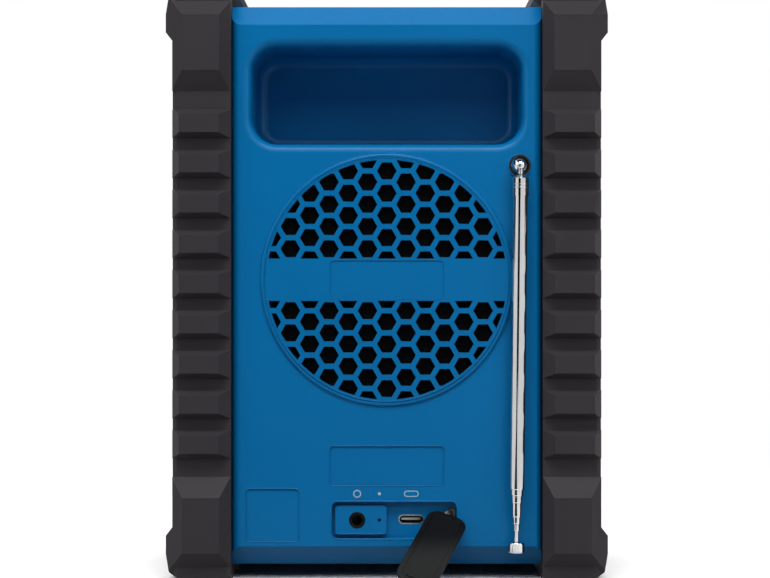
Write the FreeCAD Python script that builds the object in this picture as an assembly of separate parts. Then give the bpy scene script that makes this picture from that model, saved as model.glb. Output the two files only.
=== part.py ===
import FreeCAD, Part
import math
import os

V = FreeCAD.Vector

# Sizes are in millimetres. X runs across the radio, Y from the control side (negative) to the
# aerial side (positive), Z up from the sole. The origin is the middle of the footprint.

# Case: a core under the bumpers, with a raised panel between them on both faces
case_width = 138.0
case_depth = 102.0
case_height = 197.0
case_foot = 5.0
case_wall = 2.5
case_corner = 8.0
panel_width = 109.0
panel_rise = 4.0
panel_edge = 3.5
least_corner = 1.0
end_bevel = 7.0
seam_y = -10.0
seal_height = 0.8
seal_width = 1.5
seal_inset = 0.4

# Fits, and how far a cutting shape reaches past what it cuts
press_gap = 0.02
running_gap = 0.05
cut_over = 1.0
arc_slack = 0.01
seat_gap = 0.1
loose_gap = 0.3

# Side bumpers
bumper_side = 6.0
bumper_head = 6.0
column_rise = 3.0
column_chamfer = 1.5
column_end_chamfer = 3.0
rib_count = 9
rib_pitch = 14.0
rib_length = 10.0
rib_height = 4.0
rib_end_slope = 1.9
rib_inner_slope = 4.0
rib_outer_slope = 2.6
groove_depth = 2.0
groove_reach = 40.0
groove_floor_inset = 1.0
groove_flare = 0.5
head_lip = 2.6
peg_radius = 2.4
peg_length = 2.2
peg_y = 26.0
peg_from_end = 45.0

# Corner blocks of the bumpers
block_bulge = 2.5
block_height = 36.6
block_depth = 28.0
block_back_slope = 4.0
block_inner_bevel = 3.7
block_outer_bevel = 6.2
block_end_bevel = 10.2
block_end_drop = 8.0
block_rib_bevel = 7.1
block_bulge_start = 19.0
block_bulge_slope = 3.2
block_waist_z = 9.5
block_heel_z = 3.0
block_heel_x = 1.2
block_toe_x = 4.8

# Hand pocket in the back
pocket_width = 95.0
pocket_height = 34.4
pocket_depth = 40.0
pocket_corner = 9.0
pocket_rim = 3.0
pocket_floor_round = 4.0
pocket_centre_z = 170.3

# Honeycomb discs
hex_flats = 6.0
hex_wall = 1.8
hex_smallest_area = 2.0
grille_z = 105.5
grille_radius = 44.4
grille_field_radius = 42.1
grille_opening_margin = 0.5
grille_rise = 0.9
grille_edge_land = 0.1
grille_seat = 2.0
grille_band = 14.8
grille_first_row = 6.96
grille_groove_inset = 1.2
grille_groove = 0.25
band_label_width = 40.0
band_label_height = 13.7
label_corner = 1.6
band_label_depth = 0.25
front_grille_z = 84.0
front_grille_radius = 51.0
front_grille_field = 47.6
front_grille_thickness = 1.6
front_grille_rise = 0.5

# Label fields sunk in the back panel
long_label_width = 40.4
long_label_height = 14.0
long_label_z = 40.2
square_label_size = 18.7
square_label_x = 40.1
square_label_z = 22.9
label_depth = 0.4

# Port recess in the back panel
port_z = 21.1
recess_width = 43.8
recess_height = 12.9
recess_x = -2.6
recess_depth = 3.0
recess_corner = 2.0
island_width = 18.1
island_height = 10.0
island_x = 9.1
island_below = 0.8
island_corner = 1.2
port_block_margin = 2.6
jack_x = 10.4
jack_radius = 2.8
jack_bore_radius = 1.8
jack_bore_length = 14.0
jack_proud = 0.25
jack_edge = 0.2
jack_body_width = 6.4
jack_body_height = 6.2
jack_body_length = 13.2
pinhole_x = 2.6
pinhole_radius = 0.6
reset_radius = 1.0
reset_travel = 0.4
reset_length = 2.6
reset_switch_size = 3.6
reset_switch_height = 6.0
switch_set_back = 0.8
switch_back_wall = 1.5
usb_x = -8.6
usb_width = 8.94
usb_height = 3.26
usb_length = 7.4
usb_wall = 0.3
usb_back_wall = 1.0
usb_set_back = 0.4
usb_foot_inset = 1.0
usb_tongue_width = 6.7
usb_tongue_height = 0.7
usb_tongue_length = 4.4
usb_tongue_corner = 0.2
board_thickness = 1.6
board_corner = 1.5
port_board_width = 48.0
port_board_depth = 24.0
board_post_radius = 3.0

# Port cover, drawn closed and then swung open about a slanted axis
cover_length = 41.0
cover_height = 14.2
cover_thickness = 1.6
cover_corner = 4.5
cover_x = -0.1
cover_gap = 0.3
cover_edge = 0.5
cover_rim_inset = 1.6
cover_rim_depth = 0.35
cover_open_angle = 84.0
cover_axis = (0.5, math.sqrt(0.5), 0.5)
cover_pivot_dx = 0.5
cover_pivot_dz = 2.0
cover_plug_gap = 0.15
cover_plug_length = 3.6
anchor_length = 2.9
anchor_height = 8.0
anchor_below = 0.6
anchor_corner = 0.8
strap_thickness = 1.6
strap_width = 6.0
strap_inset = 3.2

# Aerial
aerial_x = -46.7
aerial_z = 145.6
aerial_stand_off = 3.9
aerial_lean = 0.65
head_radius = 2.0
fork_radius = 3.1
fork_gap = 0.1
head_flat = 1.2
stud_radius = 2.2
stud_length = 12.0
fork_foot_gap = 0.4
neck_radius = 1.15
pin_radius = 0.5
aerial_well_radius = 3.5
aerial_well_depth = 4.5
aerial_boss_radius = 6.0
nut_radius = 3.9
nut_thickness = 2.0
barrel_radius = 2.95
barrel_drop = 4.6
barrel_length = 6.1
barrel_shoulder = 1.5
barrel_ring = 0.12
barrel_ring_height = 0.8
spigot_length = 4.0
tube_diameters = (5.4, 4.6, 4.0, 3.4, 2.8, 2.2, 1.6)
outer_tube_length = 102.7
tube_steps = (2.2, 2.5, 4.9, 2.4, 2.4)
rod_shown = 3.9
tube_top_step = 0.8
tip_radius = 2.95
tip_height = 3.8
tip_round = 0.6
channel_width = 15.0
channel_depth = 1.0
channel_over = 6.0
channel_fade = 16.0
channel_foot = 7.0

# Driver in the front
driver_opening = 46.8
driver_ring_radius = 55.0
driver_ring_depth = 2.4
flange_radius = 51.5
flange_bore = 44.5
flange_thickness = 2.5
driver_screw_shift = 0.9
basket_depth = 24.0
basket_wall = 1.5
basket_foot_radius = 31.0
basket_windows = 6
basket_window_radius = 6.0
magnet_plate_radius = 29.0
magnet_plate_thickness = 4.0
magnet_radius = 32.0
magnet_thickness = 10.0
magnet_bore = 16.0
gap_radius = 13.6
pole_radius = 11.8
coil_inner = 12.4
coil_outer = 13.0
coil_length = 16.0
cone_rim = 40.0
cone_depth = 13.5
cone_thickness = 0.8
cone_set_back = 0.9
dust_cap_radius = 15.0
dust_cap_height = 4.0
dust_cap_thickness = 0.6
roll_thickness = 0.5
roll_lip = 2.3
spider_set_back = 5.0
spider_thickness = 0.4
screw_radius = 1.25
screw_head_radius = 2.6
screw_head = 1.6
pilot_depth = 0.5
screw_end_gap = 0.2

# Passive radiator behind the honeycomb in the back
radiator_frame_outer = 44.5
radiator_frame_inner = 38.0
radiator_frame_thickness = 2.5
radiator_ear_circle = 47.5
radiator_ear_radius = 4.0
radiator_boss_depth = 3.0
radiator_boss_margin = 1.5
radiator_plate_radius = 31.0
radiator_plate_thickness = 1.6
radiator_weight_radius = 9.0
radiator_weight_thickness = 3.0

# Display, knob and keys in the front
lens_width = 56.0
lens_height = 32.0
lens_x = -20.0
lens_z = 172.0
lens_corner = 2.5
lens_thickness = 1.2
lens_frame = 5.0
module_thickness = 5.0
module_margin = 3.0
module_corner = 1.0
control_board_gap = 6.9
control_board_width = 106.0
control_board_height = 53.0
control_board_z = 167.5
control_post_inset = 3.4
knob_from_board_end = 22.0
knob_z = 172.0
knob_radius = 15.0
knob_height = 6.2
knob_gap = 0.5
knob_flutes = 24
knob_flute_radius = 1.2
knob_flute_start = 1.4
knob_edge = 1.0
knob_dish_radius = 10.5
knob_dish_depth = 0.6
pointer_radius = 1.1
pointer_distance = 7.6
pointer_depth = 0.5
shaft_radius = 3.0
shaft_length = 9.5
bushing_radius = 4.5
bushing_set_back = 0.2
encoder_size = 12.4
encoder_depth = 4.6
key_count = 5
key_end_margin = 15.0
key_width = 13.0
key_height = 6.5
key_corner = 1.5
key_z = 146.0
key_proud = 1.3
key_travel = 1.0
key_flange = 1.0
key_flange_lip = 1.0
key_edge = 0.6
key_stem_width = 7.0
key_stem_height = 3.5
key_stem_corner = 0.8
key_mat_thickness = 1.6
key_mat_end = 2.0
key_mat_side = 1.25
key_mat_corner = 1.5
key_mat_hole_corner = 1.0

# Battery pack, boards, shell screws and leads
cell_radius = 9.0
cell_length = 65.0
cell_count = 3
cell_pitch = 18.5
battery_y = -12.0
tray_wall = 1.5
tray_height = 12.0
amp_board_depth = 46.0
amp_board_height = 80.0
amp_board_z = 90.0
amp_board_y = 20.0
amp_post_length = 3.0
amp_post_inset = 5.0
capacitor_radius = 4.0
capacitor_height = 9.0
capacitor_count = 3
capacitor_pitch = 11.0
chip_size = 10.0
chip_height = 1.2
pillar_radius = 5.0
pillar_from_end = 19.0
pillar_sink = 1.0
well_radius = 3.4
well_floor_y = 4.0
shell_screw_radius = 1.5
shell_screw_head_radius = 3.0
shell_screw_head = 2.4
shell_screw_hole = 1.7
front_pillar_length = 22.0
pilot_gap = 0.02
screw_bite = 16.0
drive_width = 1.0
drive_depth = 1.2
drive_length = 4.0
lead_radius = 0.7
lead_bend_share = 0.45
lead_spacing = 4.0
lead_exit = 8.0
driver_lead_drop = 14.0
driver_lead_y = 8.0
driver_lead_bend = 14.0
driver_lead_end = 6.0
battery_lead_spacing = 6.0
battery_lead_exit = 9.0
battery_lead_bend = 14.0
battery_lead_rise = 4.0
battery_lead_side = 3.0
battery_lead_from_end = 6.0
aerial_lead_exit = 6.0
aerial_lead_from_middle = 12.0
aerial_lead_from_end = 5.0

# Places worked out from the sizes above
height = case_foot + case_height + bumper_head
middle_z = height / 2
case_top = case_foot + case_height
panel_y = case_depth / 2 + panel_rise
inner_y = panel_y - case_wall
bumper_in = panel_width / 2 + seat_gap
column_out = case_width / 2 + bumper_side
column_face = panel_y + column_rise
rib_face = column_face + rib_height
block_out = column_out + block_bulge
hex_pitch = hex_flats + hex_wall
hex_column_pitch = hex_pitch * math.cos(math.radians(30))
pillar_x = case_width / 2 - case_wall - pillar_radius + pillar_sink
pocket_low = pocket_centre_z - pocket_height / 2
pocket_high = pocket_centre_z + pocket_height / 2
pocket_floor_y = panel_y - pocket_depth
grille_back_y = panel_y - grille_seat
recess_floor_y = panel_y - recess_depth
island_y = panel_y - island_below
port_wall_y = recess_floor_y - case_wall
port_board_top = port_z - jack_body_height / 2
port_board_back = port_wall_y - 1.0
mast_y = panel_y + aerial_stand_off
barrel_top = aerial_z - barrel_drop
barrel_bottom = barrel_top - barrel_length
driver_ring_y = -inner_y + driver_ring_depth
flange_back_y = driver_ring_y + flange_thickness
basket_floor_y = flange_back_y + basket_depth
cone_front_y = driver_ring_y + cone_set_back
cone_apex_y = cone_front_y + cone_depth
radiator_boss_y = inner_y - radiator_boss_depth
control_board_y = -inner_y + control_board_gap
knob_x = control_board_width / 2 - knob_from_board_end
key_pitch = (control_board_width - 2 * key_end_margin) / (key_count - 1)
tray_floor_z = case_foot + case_wall


def place(plane, u, v, w):
    """A point from two in-plane sizes and the level of the plane."""
    return {"xz": V(u, w, v), "xy": V(u, v, w), "yz": V(w, u, v)}[plane]


def prism(points, plane, w0, w1):
    """A straight-sided outline, extruded between two levels."""
    corners = [place(plane, u, v, w0) for u, v in points]
    face = Part.Face(Part.makePolygon(corners + corners[:1]))
    return face.extrude(place(plane, 0, 0, w1 - w0))


def rounded_wire(centre, size, radius, plane, level):
    """A rounded rectangle as a wire."""
    (cu, cv), (du, dv) = centre, (size[0] / 2, size[1] / 2)
    cut = radius * (1 - math.sqrt(0.5))
    edges = []
    for su, sv in ((1, -1), (1, 1), (-1, 1), (-1, -1)):
        corner = (cu + su * du, cv + sv * dv)
        along_u = place(plane, corner[0] - su * radius, corner[1], level)
        along_v = place(plane, corner[0], corner[1] - sv * radius, level)
        middle = place(plane, corner[0] - su * cut, corner[1] - sv * cut, level)
        first, last = (along_u, along_v) if su * sv < 0 else (along_v, along_u)
        if edges:
            edges.append(Part.makeLine(edges[-1].lastVertex().Point, first))
        edges.append(Part.Arc(first, middle, last).toShape())
    edges.append(Part.makeLine(edges[-1].lastVertex().Point, edges[0].firstVertex().Point))
    return Part.Wire(edges)


def slab(centre, size, radius, plane, w0, w1):
    """A rounded rectangle, extruded between two levels."""
    face = Part.Face(rounded_wire(centre, size, radius, plane, w0))
    return face.extrude(place(plane, 0, 0, w1 - w0))


def flat_oval(centre, size, y0, y1):
    """A slab that lies front to back, with fully round ends."""
    return slab(centre, size, size[1] / 2 - arc_slack, "xz", y0, y1)


def box(x0, x1, y0, y1, z0, z1):
    return Part.makeBox(x1 - x0, y1 - y0, z1 - z0, V(x0, y0, z0))


def disc(x, z, radius, y0, y1):
    """A cylinder that lies front to back."""
    return Part.makeCylinder(radius, y1 - y0, V(x, y0, z), V(0, 1, 0))


def ring(x, z, inner, outer, y0, y1):
    return disc(x, z, outer, y0, y1).cut(disc(x, z, inner, y0, y1))


def post(x, y, radius, z0, z1):
    return Part.makeCylinder(radius, z1 - z0, V(x, y, z0), V(0, 0, 1))


def beam(y, z, radius, x0, x1):
    return Part.makeCylinder(radius, x1 - x0, V(x0, y, z), V(1, 0, 0))


def funnel(x, z, r0, r1, y0, y1):
    """A cone frustum that lies front to back, radius r0 at y0 and r1 at y1."""
    return Part.makeCone(r0, r1, y1 - y0, V(x, y0, z), V(0, 1, 0))


def joined(shapes):
    first, rest = shapes[0], shapes[1:]
    return first.fuse(rest).removeSplitter() if rest else first


def mirrored(shape, axis, at=0.0):
    normal = {"x": V(1, 0, 0), "y": V(0, 1, 0), "z": V(0, 0, 1)}[axis]
    return shape.mirror(normal * at, normal)


def edges_at_y(shape, y, x_reach, z_low, z_high, slack=running_gap):
    """The edges that lie in the plane at y, inside a window."""
    found = []
    for edge in shape.Edges:
        b = edge.BoundBox
        flat = abs(b.YMin - y) < slack and abs(b.YMax - y) < slack
        inside = b.XMax < x_reach + slack and b.XMin > -x_reach - slack
        if flat and inside and b.ZMin > z_low - slack and b.ZMax < z_high + slack:
            found.append(edge)
    return found


def circles_at_y(shape, y):
    """The full circles that lie in the plane at y."""
    circles = [e for e in shape.Edges if len(e.Vertexes) == 1]
    return [e for e in circles if abs(e.BoundBox.YMin - y) + abs(e.BoundBox.YMax - y) < seat_gap]


def bevelled(half_width, half_depth, z0, z1, bevel, corner):
    """A block with slanted front and back edges at both ends, and rounded upright edges."""
    d, b = half_depth, bevel
    side = [(-d, z0 + b), (b - d, z0), (d - b, z0), (d, z0 + b)]
    side += [(d, z1 - b), (d - b, z1), (b - d, z1), (-d, z1 - b)]
    plan = slab((0, 0), (2 * half_width, 2 * d), corner, "xy", z0, z1)
    return prism(side, "yz", -half_width, half_width).common(plan)


def case_block(inset):
    """The outline that both shells share, drawn in by inset on every side."""
    bevel = end_bevel - inset * (2 - math.sqrt(2))
    z0, z1 = case_foot + inset, case_top - inset
    half_core, half_panel = case_width / 2 - inset, panel_width / 2 - inset
    core = bevelled(half_core, case_depth / 2 - inset, z0, z1, bevel, case_corner - inset)
    panel = bevelled(half_panel, panel_y - inset, z0, z1, bevel, max(panel_edge - inset, least_corner))
    return joined([core, panel])


def behind_seam(shape, sign):
    """The part of a shape on one side of the seam, clear of the seal."""
    face = seam_y + sign * seal_height / 2
    far = sign * (panel_y + case_wall)
    y0, y1 = min(face, far), max(face, far)
    return shape.common(box(-case_width, case_width, y0, y1, 0, height))


def pillar_places():
    """Where the four long case screws stand, as x and z."""
    low, high = case_foot + pillar_from_end, case_top - pillar_from_end
    return [(x, z) for x in (-pillar_x, pillar_x) for z in (low, high)]


def peg_places():
    return [(y, z) for y in (-peg_y, peg_y) for z in (peg_from_end, height - peg_from_end)]


def peg_holes():
    reach = case_width / 2 + case_wall
    radius = peg_radius + seat_gap
    return [beam(y, z, radius, -reach, reach) for y, z in peg_places()]


def around(x, z, radius, count, first_angle=45.0):
    """Places spaced evenly round a circle."""
    step = 360.0 / count
    angles = [math.radians(first_angle + step * i) for i in range(count)]
    return [(x + radius * math.cos(a), z + radius * math.sin(a)) for a in angles]


def pocket_cavity():
    centre, size = (0, pocket_centre_z), (pocket_width, pocket_height)
    tool = slab(centre, size, pocket_corner, "xz", pocket_floor_y, panel_y + case_wall)
    floor = edges_at_y(tool, pocket_floor_y, pocket_width / 2, pocket_low, pocket_high)
    return tool.makeFillet(pocket_floor_round, floor)


def pocket_tub():
    size = (pocket_width + 2 * case_wall, pocket_height + 2 * case_wall)
    corner = pocket_corner + case_wall
    return slab((0, pocket_centre_z), size, corner, "xz", pocket_floor_y - case_wall, panel_y)


def radiator_ears(radius, y0, y1):
    places = around(0, grille_z, radiator_ear_circle, 4)
    return [disc(x, z, radius, y0, y1) for x, z in places]


def port_block():
    size = (recess_width + 2 * port_block_margin, recess_height + 2 * port_block_margin)
    return slab((recess_x, port_z), size, recess_corner, "xz", port_wall_y, panel_y)


def board_posts():
    """Two posts on the case floor that carry the port board."""
    y = port_board_back - port_board_depth / 2
    reach = port_board_width / 2 - board_post_radius
    top = port_board_top - board_thickness
    return [post(recess_x + s * reach, y, board_post_radius, case_foot, top) for s in (-1, 1)]


def amp_post_places():
    reach_y, reach_z = amp_board_depth / 2 - amp_post_inset, amp_board_height / 2 - amp_post_inset
    corners = ((-1, -1), (-1, 1), (1, -1), (1, 1))
    return [(amp_board_y + a * reach_y, amp_board_z + b * reach_z) for a, b in corners]


def amp_posts():
    wall = -case_width / 2
    end = wall + case_wall + amp_post_length
    return [beam(y, z, board_post_radius, wall + cut_over, end) for y, z in amp_post_places()]


def recess_tool():
    """The port recess, with the raised island left standing in it."""
    size = (recess_width, recess_height)
    sunk = slab((recess_x, port_z), size, recess_corner, "xz", recess_floor_y, panel_y + cut_over)
    size = (island_width, island_height)
    island = slab((island_x, port_z), size, island_corner, "xz", recess_floor_y - cut_over, island_y)
    return sunk.cut(island)


def port_holes():
    size = (usb_width + 2 * seat_gap, usb_height + 2 * seat_gap)
    back = port_wall_y - cut_over
    usb = flat_oval((usb_x, port_z), size, back, panel_y)
    jack = disc(jack_x, port_z, jack_radius + seat_gap, back, panel_y)
    return [usb, jack, disc(pinhole_x, port_z, pinhole_radius, back, panel_y)]


def label_fields():
    """The blank sunk fields on the back panel."""
    deep = (panel_y - label_depth, panel_y + cut_over)
    long_size = (long_label_width, long_label_height)
    square = (square_label_size, square_label_size)
    long_field = slab((0, long_label_z), long_size, label_corner, "xz", *deep)
    return [long_field, slab((square_label_x, square_label_z), square, label_corner, "xz", *deep)]


def channel_tool():
    """A shallow round-bottomed channel under the folded aerial, that fades out at its top."""
    half = channel_width / 2
    radius = (half**2 + channel_depth**2) / (2 * channel_depth)
    y = panel_y - channel_depth + radius
    top = aerial_z + channel_over - channel_fade
    channel = post(aerial_x, y, radius, case_foot + channel_foot, top)
    fade = Part.makeCone(radius, radius - channel_depth, channel_fade, V(aerial_x, y, top), V(0, 0, 1))
    return channel.fuse(fade)


def screw_wells():
    tools = []
    for x, z in pillar_places():
        tools.append(disc(x, z, well_radius, well_floor_y, panel_y))
        tools.append(disc(x, z, shell_screw_hole, seam_y, panel_y))
    return tools


def rear_shell():
    outer = behind_seam(case_block(0), 1).cut(pocket_cavity())
    rim = edges_at_y(outer, panel_y, pocket_width / 2, pocket_low, pocket_high)
    outer = outer.makeFillet(pocket_rim, rim)
    inside = [pocket_tub(), port_block()]
    inside.append(disc(0, grille_z, radiator_frame_outer + radiator_boss_margin, radiator_boss_y, panel_y))
    inside += radiator_ears(radiator_ear_radius, radiator_boss_y, panel_y)
    boss_back = inner_y - nut_radius
    inside.append(disc(aerial_x, aerial_z, aerial_boss_radius, boss_back, panel_y))
    inside += [disc(x, z, pillar_radius, seam_y, panel_y) for x, z in pillar_places()]
    inside += board_posts() + amp_posts()
    void = case_block(case_wall).cut(inside)
    cuts = [behind_seam(void, 1), recess_tool(), channel_tool()] + label_fields()
    opening = grille_field_radius + grille_opening_margin
    cuts.append(disc(0, grille_z, opening, radiator_boss_y - cut_over, panel_y))
    cuts.append(disc(0, grille_z, grille_radius + running_gap, grille_back_y, panel_y + cut_over))
    ear_holes = radiator_ears(screw_radius + pilot_gap, radiator_boss_y - cut_over, panel_y - case_wall)
    cuts += ear_holes + port_holes() + screw_wells() + peg_holes()
    cuts.append(disc(aerial_x, aerial_z, aerial_well_radius, panel_y - aerial_well_depth, panel_y))
    cuts.append(disc(aerial_x, aerial_z, stud_radius + running_gap, boss_back - cut_over, panel_y))
    return outer.cut(cuts)


def key_places():
    first = -key_pitch * (key_count - 1) / 2
    return [first + key_pitch * i for i in range(key_count)]


def control_post_places():
    reach = control_board_width / 2 - control_post_inset
    rise = control_board_height / 2 - control_post_inset
    return [(a * reach, control_board_z + b * rise) for a in (-1, 1) for b in (-1, 1)]


def front_openings():
    """Everything that is cut through or into the front panel."""
    out, front = -panel_y - cut_over, -panel_y
    lens = slab((lens_x, lens_z), (lens_width + 2 * seat_gap, lens_height + 2 * seat_gap),
                lens_corner, "xz", out, front + lens_thickness)
    window_size = (lens_width - 2 * lens_frame, lens_height - 2 * lens_frame)
    window = slab((lens_x, lens_z), window_size, lens_corner, "xz", out, -inner_y + cut_over)
    cuts = [lens, window]
    cuts.append(disc(knob_x, knob_z, bushing_radius + seat_gap, out, -inner_y + cut_over))
    for x in key_places():
        size = (key_width + 2 * loose_gap, key_height + 2 * loose_gap)
        cuts.append(slab((x, key_z), size, key_corner, "xz", out, -inner_y + cut_over))
    seat = front + front_grille_thickness - front_grille_rise
    cuts.append(disc(0, front_grille_z, front_grille_radius + seat_gap, out, seat))
    cuts.append(disc(0, front_grille_z, driver_opening, out, driver_ring_y + cut_over))
    return cuts


def driver_screw_places():
    return around(0, front_grille_z, (flange_bore + flange_radius) / 2 + driver_screw_shift, 4)


def front_shell():
    outer = behind_seam(case_block(0), -1)
    inside = [disc(0, front_grille_z, driver_ring_radius, -panel_y, driver_ring_y)]
    for x, z in pillar_places():
        inside.append(disc(x, z, pillar_radius, seam_y - front_pillar_length, seam_y))
    for x, z in control_post_places():
        inside.append(disc(x, z, board_post_radius, -panel_y, control_board_y))
    void = case_block(case_wall).cut(inside)
    cuts = [behind_seam(void, -1)] + front_openings() + peg_holes()
    for x, z in pillar_places():
        pilot = shell_screw_radius + pilot_gap
        cuts.append(disc(x, z, pilot, seam_y - screw_bite - cut_over, seam_y))
    for x, z in driver_screw_places():
        cuts.append(disc(x, z, screw_radius + pilot_gap, -inner_y - pilot_depth, driver_ring_y + cut_over))
    return outer.cut(cuts)


def case_seal():
    level = (-seal_height / 2, seal_height / 2)
    gap = box(-case_width, case_width, seam_y + level[0], seam_y + level[1], 0, height)
    wall = case_block(seal_inset).cut(case_block(seal_inset + seal_width))
    return wall.common(gap)


def case_screws():
    tip = seam_y - screw_bite
    half_width, half_length = drive_width / 2, drive_length / 2
    screws = []
    for x, z in pillar_places():
        top = well_floor_y + shell_screw_head
        head = disc(x, z, shell_screw_head_radius, well_floor_y, top)
        drive = box(x - half_width, x + half_width, top - drive_depth, top, z - half_length, z + half_length)
        screws.append(joined([head, disc(x, z, shell_screw_radius, tip, well_floor_y)]).cut(drive))
    return Part.makeCompound(screws)


def corner_block():
    """The lower back corner block of the bumper on the positive X side."""
    back, high = rib_face - block_depth, block_height
    outline = [(bumper_in, 0), (block_out - block_toe_x, 0), (block_out - block_heel_x, block_heel_z)]
    outline += [(block_out, block_waist_z), (block_out, block_bulge_start - block_bulge_slope)]
    outline += [(column_out, block_bulge_start), (column_out, high), (bumper_in, high)]
    plan = [(bumper_in, back), (column_out, back), (block_out, back + block_back_slope)]
    plan += [(block_out, rib_face - block_outer_bevel), (block_out - block_outer_bevel, rib_face)]
    plan += [(bumper_in + block_inner_bevel, rib_face), (bumper_in, column_face)]
    side = [(back, 0), (rib_face - block_end_drop, 0), (rib_face, block_end_bevel)]
    side += [(rib_face, high - block_rib_bevel), (column_face, high), (back, high)]
    solid = prism(outline, "xz", back, rib_face).common(prism(plan, "xy", 0, high))
    return solid.common(prism(side, "yz", bumper_in, block_out))


def bumper_rib(z):
    """One truncated rib on the back of a column."""
    half, inner, outer = rib_length / 2, bumper_in, column_out

    def rectangle(y, drop_in, drop_out, drop_end):
        x0, x1, h = inner + drop_in, outer - drop_out, half - drop_end
        points = [V(x0, y, z - h), V(x1, y, z - h), V(x1, y, z + h), V(x0, y, z + h)]
        return Part.makePolygon(points + points[:1])

    base = rectangle(column_face, 0, 0, 0)
    top = rectangle(rib_face, rib_inner_slope, rib_outer_slope, rib_end_slope)
    return Part.makeLoft([base, top], True, True)


def bumper_column():
    c, e = column_chamfer, column_end_chamfer
    plan = [(bumper_in, -column_face), (column_out - c, -column_face), (column_out, c - column_face)]
    plan += [(column_out, column_face - c), (column_out - c, column_face), (bumper_in, column_face)]
    outline = [(bumper_in, 0), (column_out - e, 0), (column_out, e)]
    outline += [(column_out, height - e), (column_out - e, height), (bumper_in, height)]
    return prism(plan, "xy", 0, height).common(prism(outline, "xz", -rib_face, rib_face))


def side_grooves():
    """Grooves between the ribs, carried round the side of a column."""
    half = (rib_pitch - rib_length) / 2
    tools = []
    for i in range(rib_count + 1):
        z = middle_z + (i - rib_count / 2) * rib_pitch
        low, mouth = half - groove_floor_inset, half + groove_flare
        outline = [(column_out - groove_depth, z - low), (column_out - groove_depth, z + low)]
        outline += [(column_out + cut_over, z + mouth), (column_out + cut_over, z - mouth)]
        tools.append(prism(outline, "xz", -groove_reach, groove_reach))
    return tools


def head_lips():
    """The inward lip over the top of the case."""
    low = case_top + seat_gap
    x = bumper_in - head_lip
    outline = [(bumper_in + cut_over, low), (bumper_in + cut_over, height), (x, height), (x, low + head_lip)]
    outline.append((bumper_in, low))
    reach = case_depth / 2 - end_bevel / 2
    return prism(outline, "xz", -reach, reach)


def bumper():
    """The bumper on the positive X side."""
    block = corner_block()
    blocks = [block, mirrored(block, "z", middle_z)]
    blocks += [mirrored(b, "y") for b in blocks]
    ribs = []
    for i in range(rib_count):
        rib = bumper_rib(middle_z + (i - (rib_count - 1) / 2) * rib_pitch)
        ribs += [rib, mirrored(rib, "y")]
    rubber = bumper_column().fuse(blocks + ribs + [head_lips()])
    rubber = rubber.cut([case_block(-seat_gap)] + side_grooves())
    wall = case_width / 2
    pegs = [beam(y, z, peg_radius, wall - peg_length, wall + cut_over) for y, z in peg_places()]
    return joined([rubber] + pegs)


def hexagon(x, z, y):
    radius = hex_flats / 2 / math.cos(math.radians(30))
    points = [V(px, y, pz) for px, pz in around(x, z, radius, 6, 0.0)]
    return Part.Face(Part.makePolygon(points + points[:1]))


def hex_centres(radius, z, first_row, banded):
    """Centres of a honeycomb, flat sides up. A banded one is mirrored above and below its band."""
    columns, rows = int(radius / hex_column_pitch) + 1, int(radius / hex_pitch) + 1
    centres = []
    for column in range(-columns, columns + 1):
        shift = first_row + hex_pitch / 2 * (column % 2)
        for row in range(0 if banded else -rows, rows + 1):
            rise = shift + row * hex_pitch
            signs = (1, -1) if banded else (1,)
            centres += [(column * hex_column_pitch, z + sign * rise) for sign in signs]
    return centres


def honeycomb_disc(z, outer, field, band, first_row, y0, y1):
    """A round plate with six-sided holes, cut off at the edge of its field and at its band."""
    region = Part.Face(Part.Wire(Part.makeCircle(field, V(0, y0, z), V(0, 1, 0))))
    if band:
        region = region.cut(box(-outer, outer, y0 - cut_over, y0 + cut_over, z - band / 2, z + band / 2))
    holes = []
    for x, hz in hex_centres(field, z, first_row, bool(band)):
        if math.hypot(x, hz - z) < field + hex_flats:
            shown = hexagon(x, hz, y0).common(region)
            holes += [f.OuterWire for f in shown.Faces if f.Area > hex_smallest_area]
    rim = Part.Wire(Part.makeCircle(outer, V(0, y0, z), V(0, 1, 0)))
    return Part.makeFace([rim] + holes, "Part::FaceMakerBullseye").extrude(V(0, y1 - y0, 0))


def rear_grille():
    top = panel_y + grille_rise
    size = (grille_z, grille_radius, grille_field_radius, grille_band, grille_first_row)
    plate = honeycomb_disc(*size, grille_back_y, top)
    plate = plate.makeFillet(grille_rise - grille_edge_land, circles_at_y(plate, top))
    groove = grille_radius - grille_groove_inset
    line = ring(0, grille_z, groove - grille_groove, groove, top - grille_groove, top + cut_over)
    size = (band_label_width, band_label_height)
    field = slab((0, grille_z), size, label_corner, "xz", top - band_label_depth, top + cut_over)
    return plate.cut([line, field])


def front_grille():
    y0 = -panel_y - front_grille_rise
    size = (front_grille_z, front_grille_radius, front_grille_field, 0, 0.0)
    plate = honeycomb_disc(*size, y0, y0 + front_grille_thickness)
    return plate.makeFillet(front_grille_rise, circles_at_y(plate, y0))


def half_roll(z, inner, outer, y, sign):
    """A half-round ring, open at the back, that bulges to one side of the plane at y."""
    middle, radius = (inner + outer) / 2, (outer - inner) / 2
    roll = Part.makeTorus(middle, radius, V(0, y, z), V(0, 1, 0))
    roll = roll.cut(Part.makeTorus(middle, radius - roll_thickness, V(0, y, z), V(0, 1, 0)))
    y0, y1 = sorted((y, y + sign * radius))
    return roll.common(box(-outer, outer, y0, y1, z - outer, z + outer))


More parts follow.
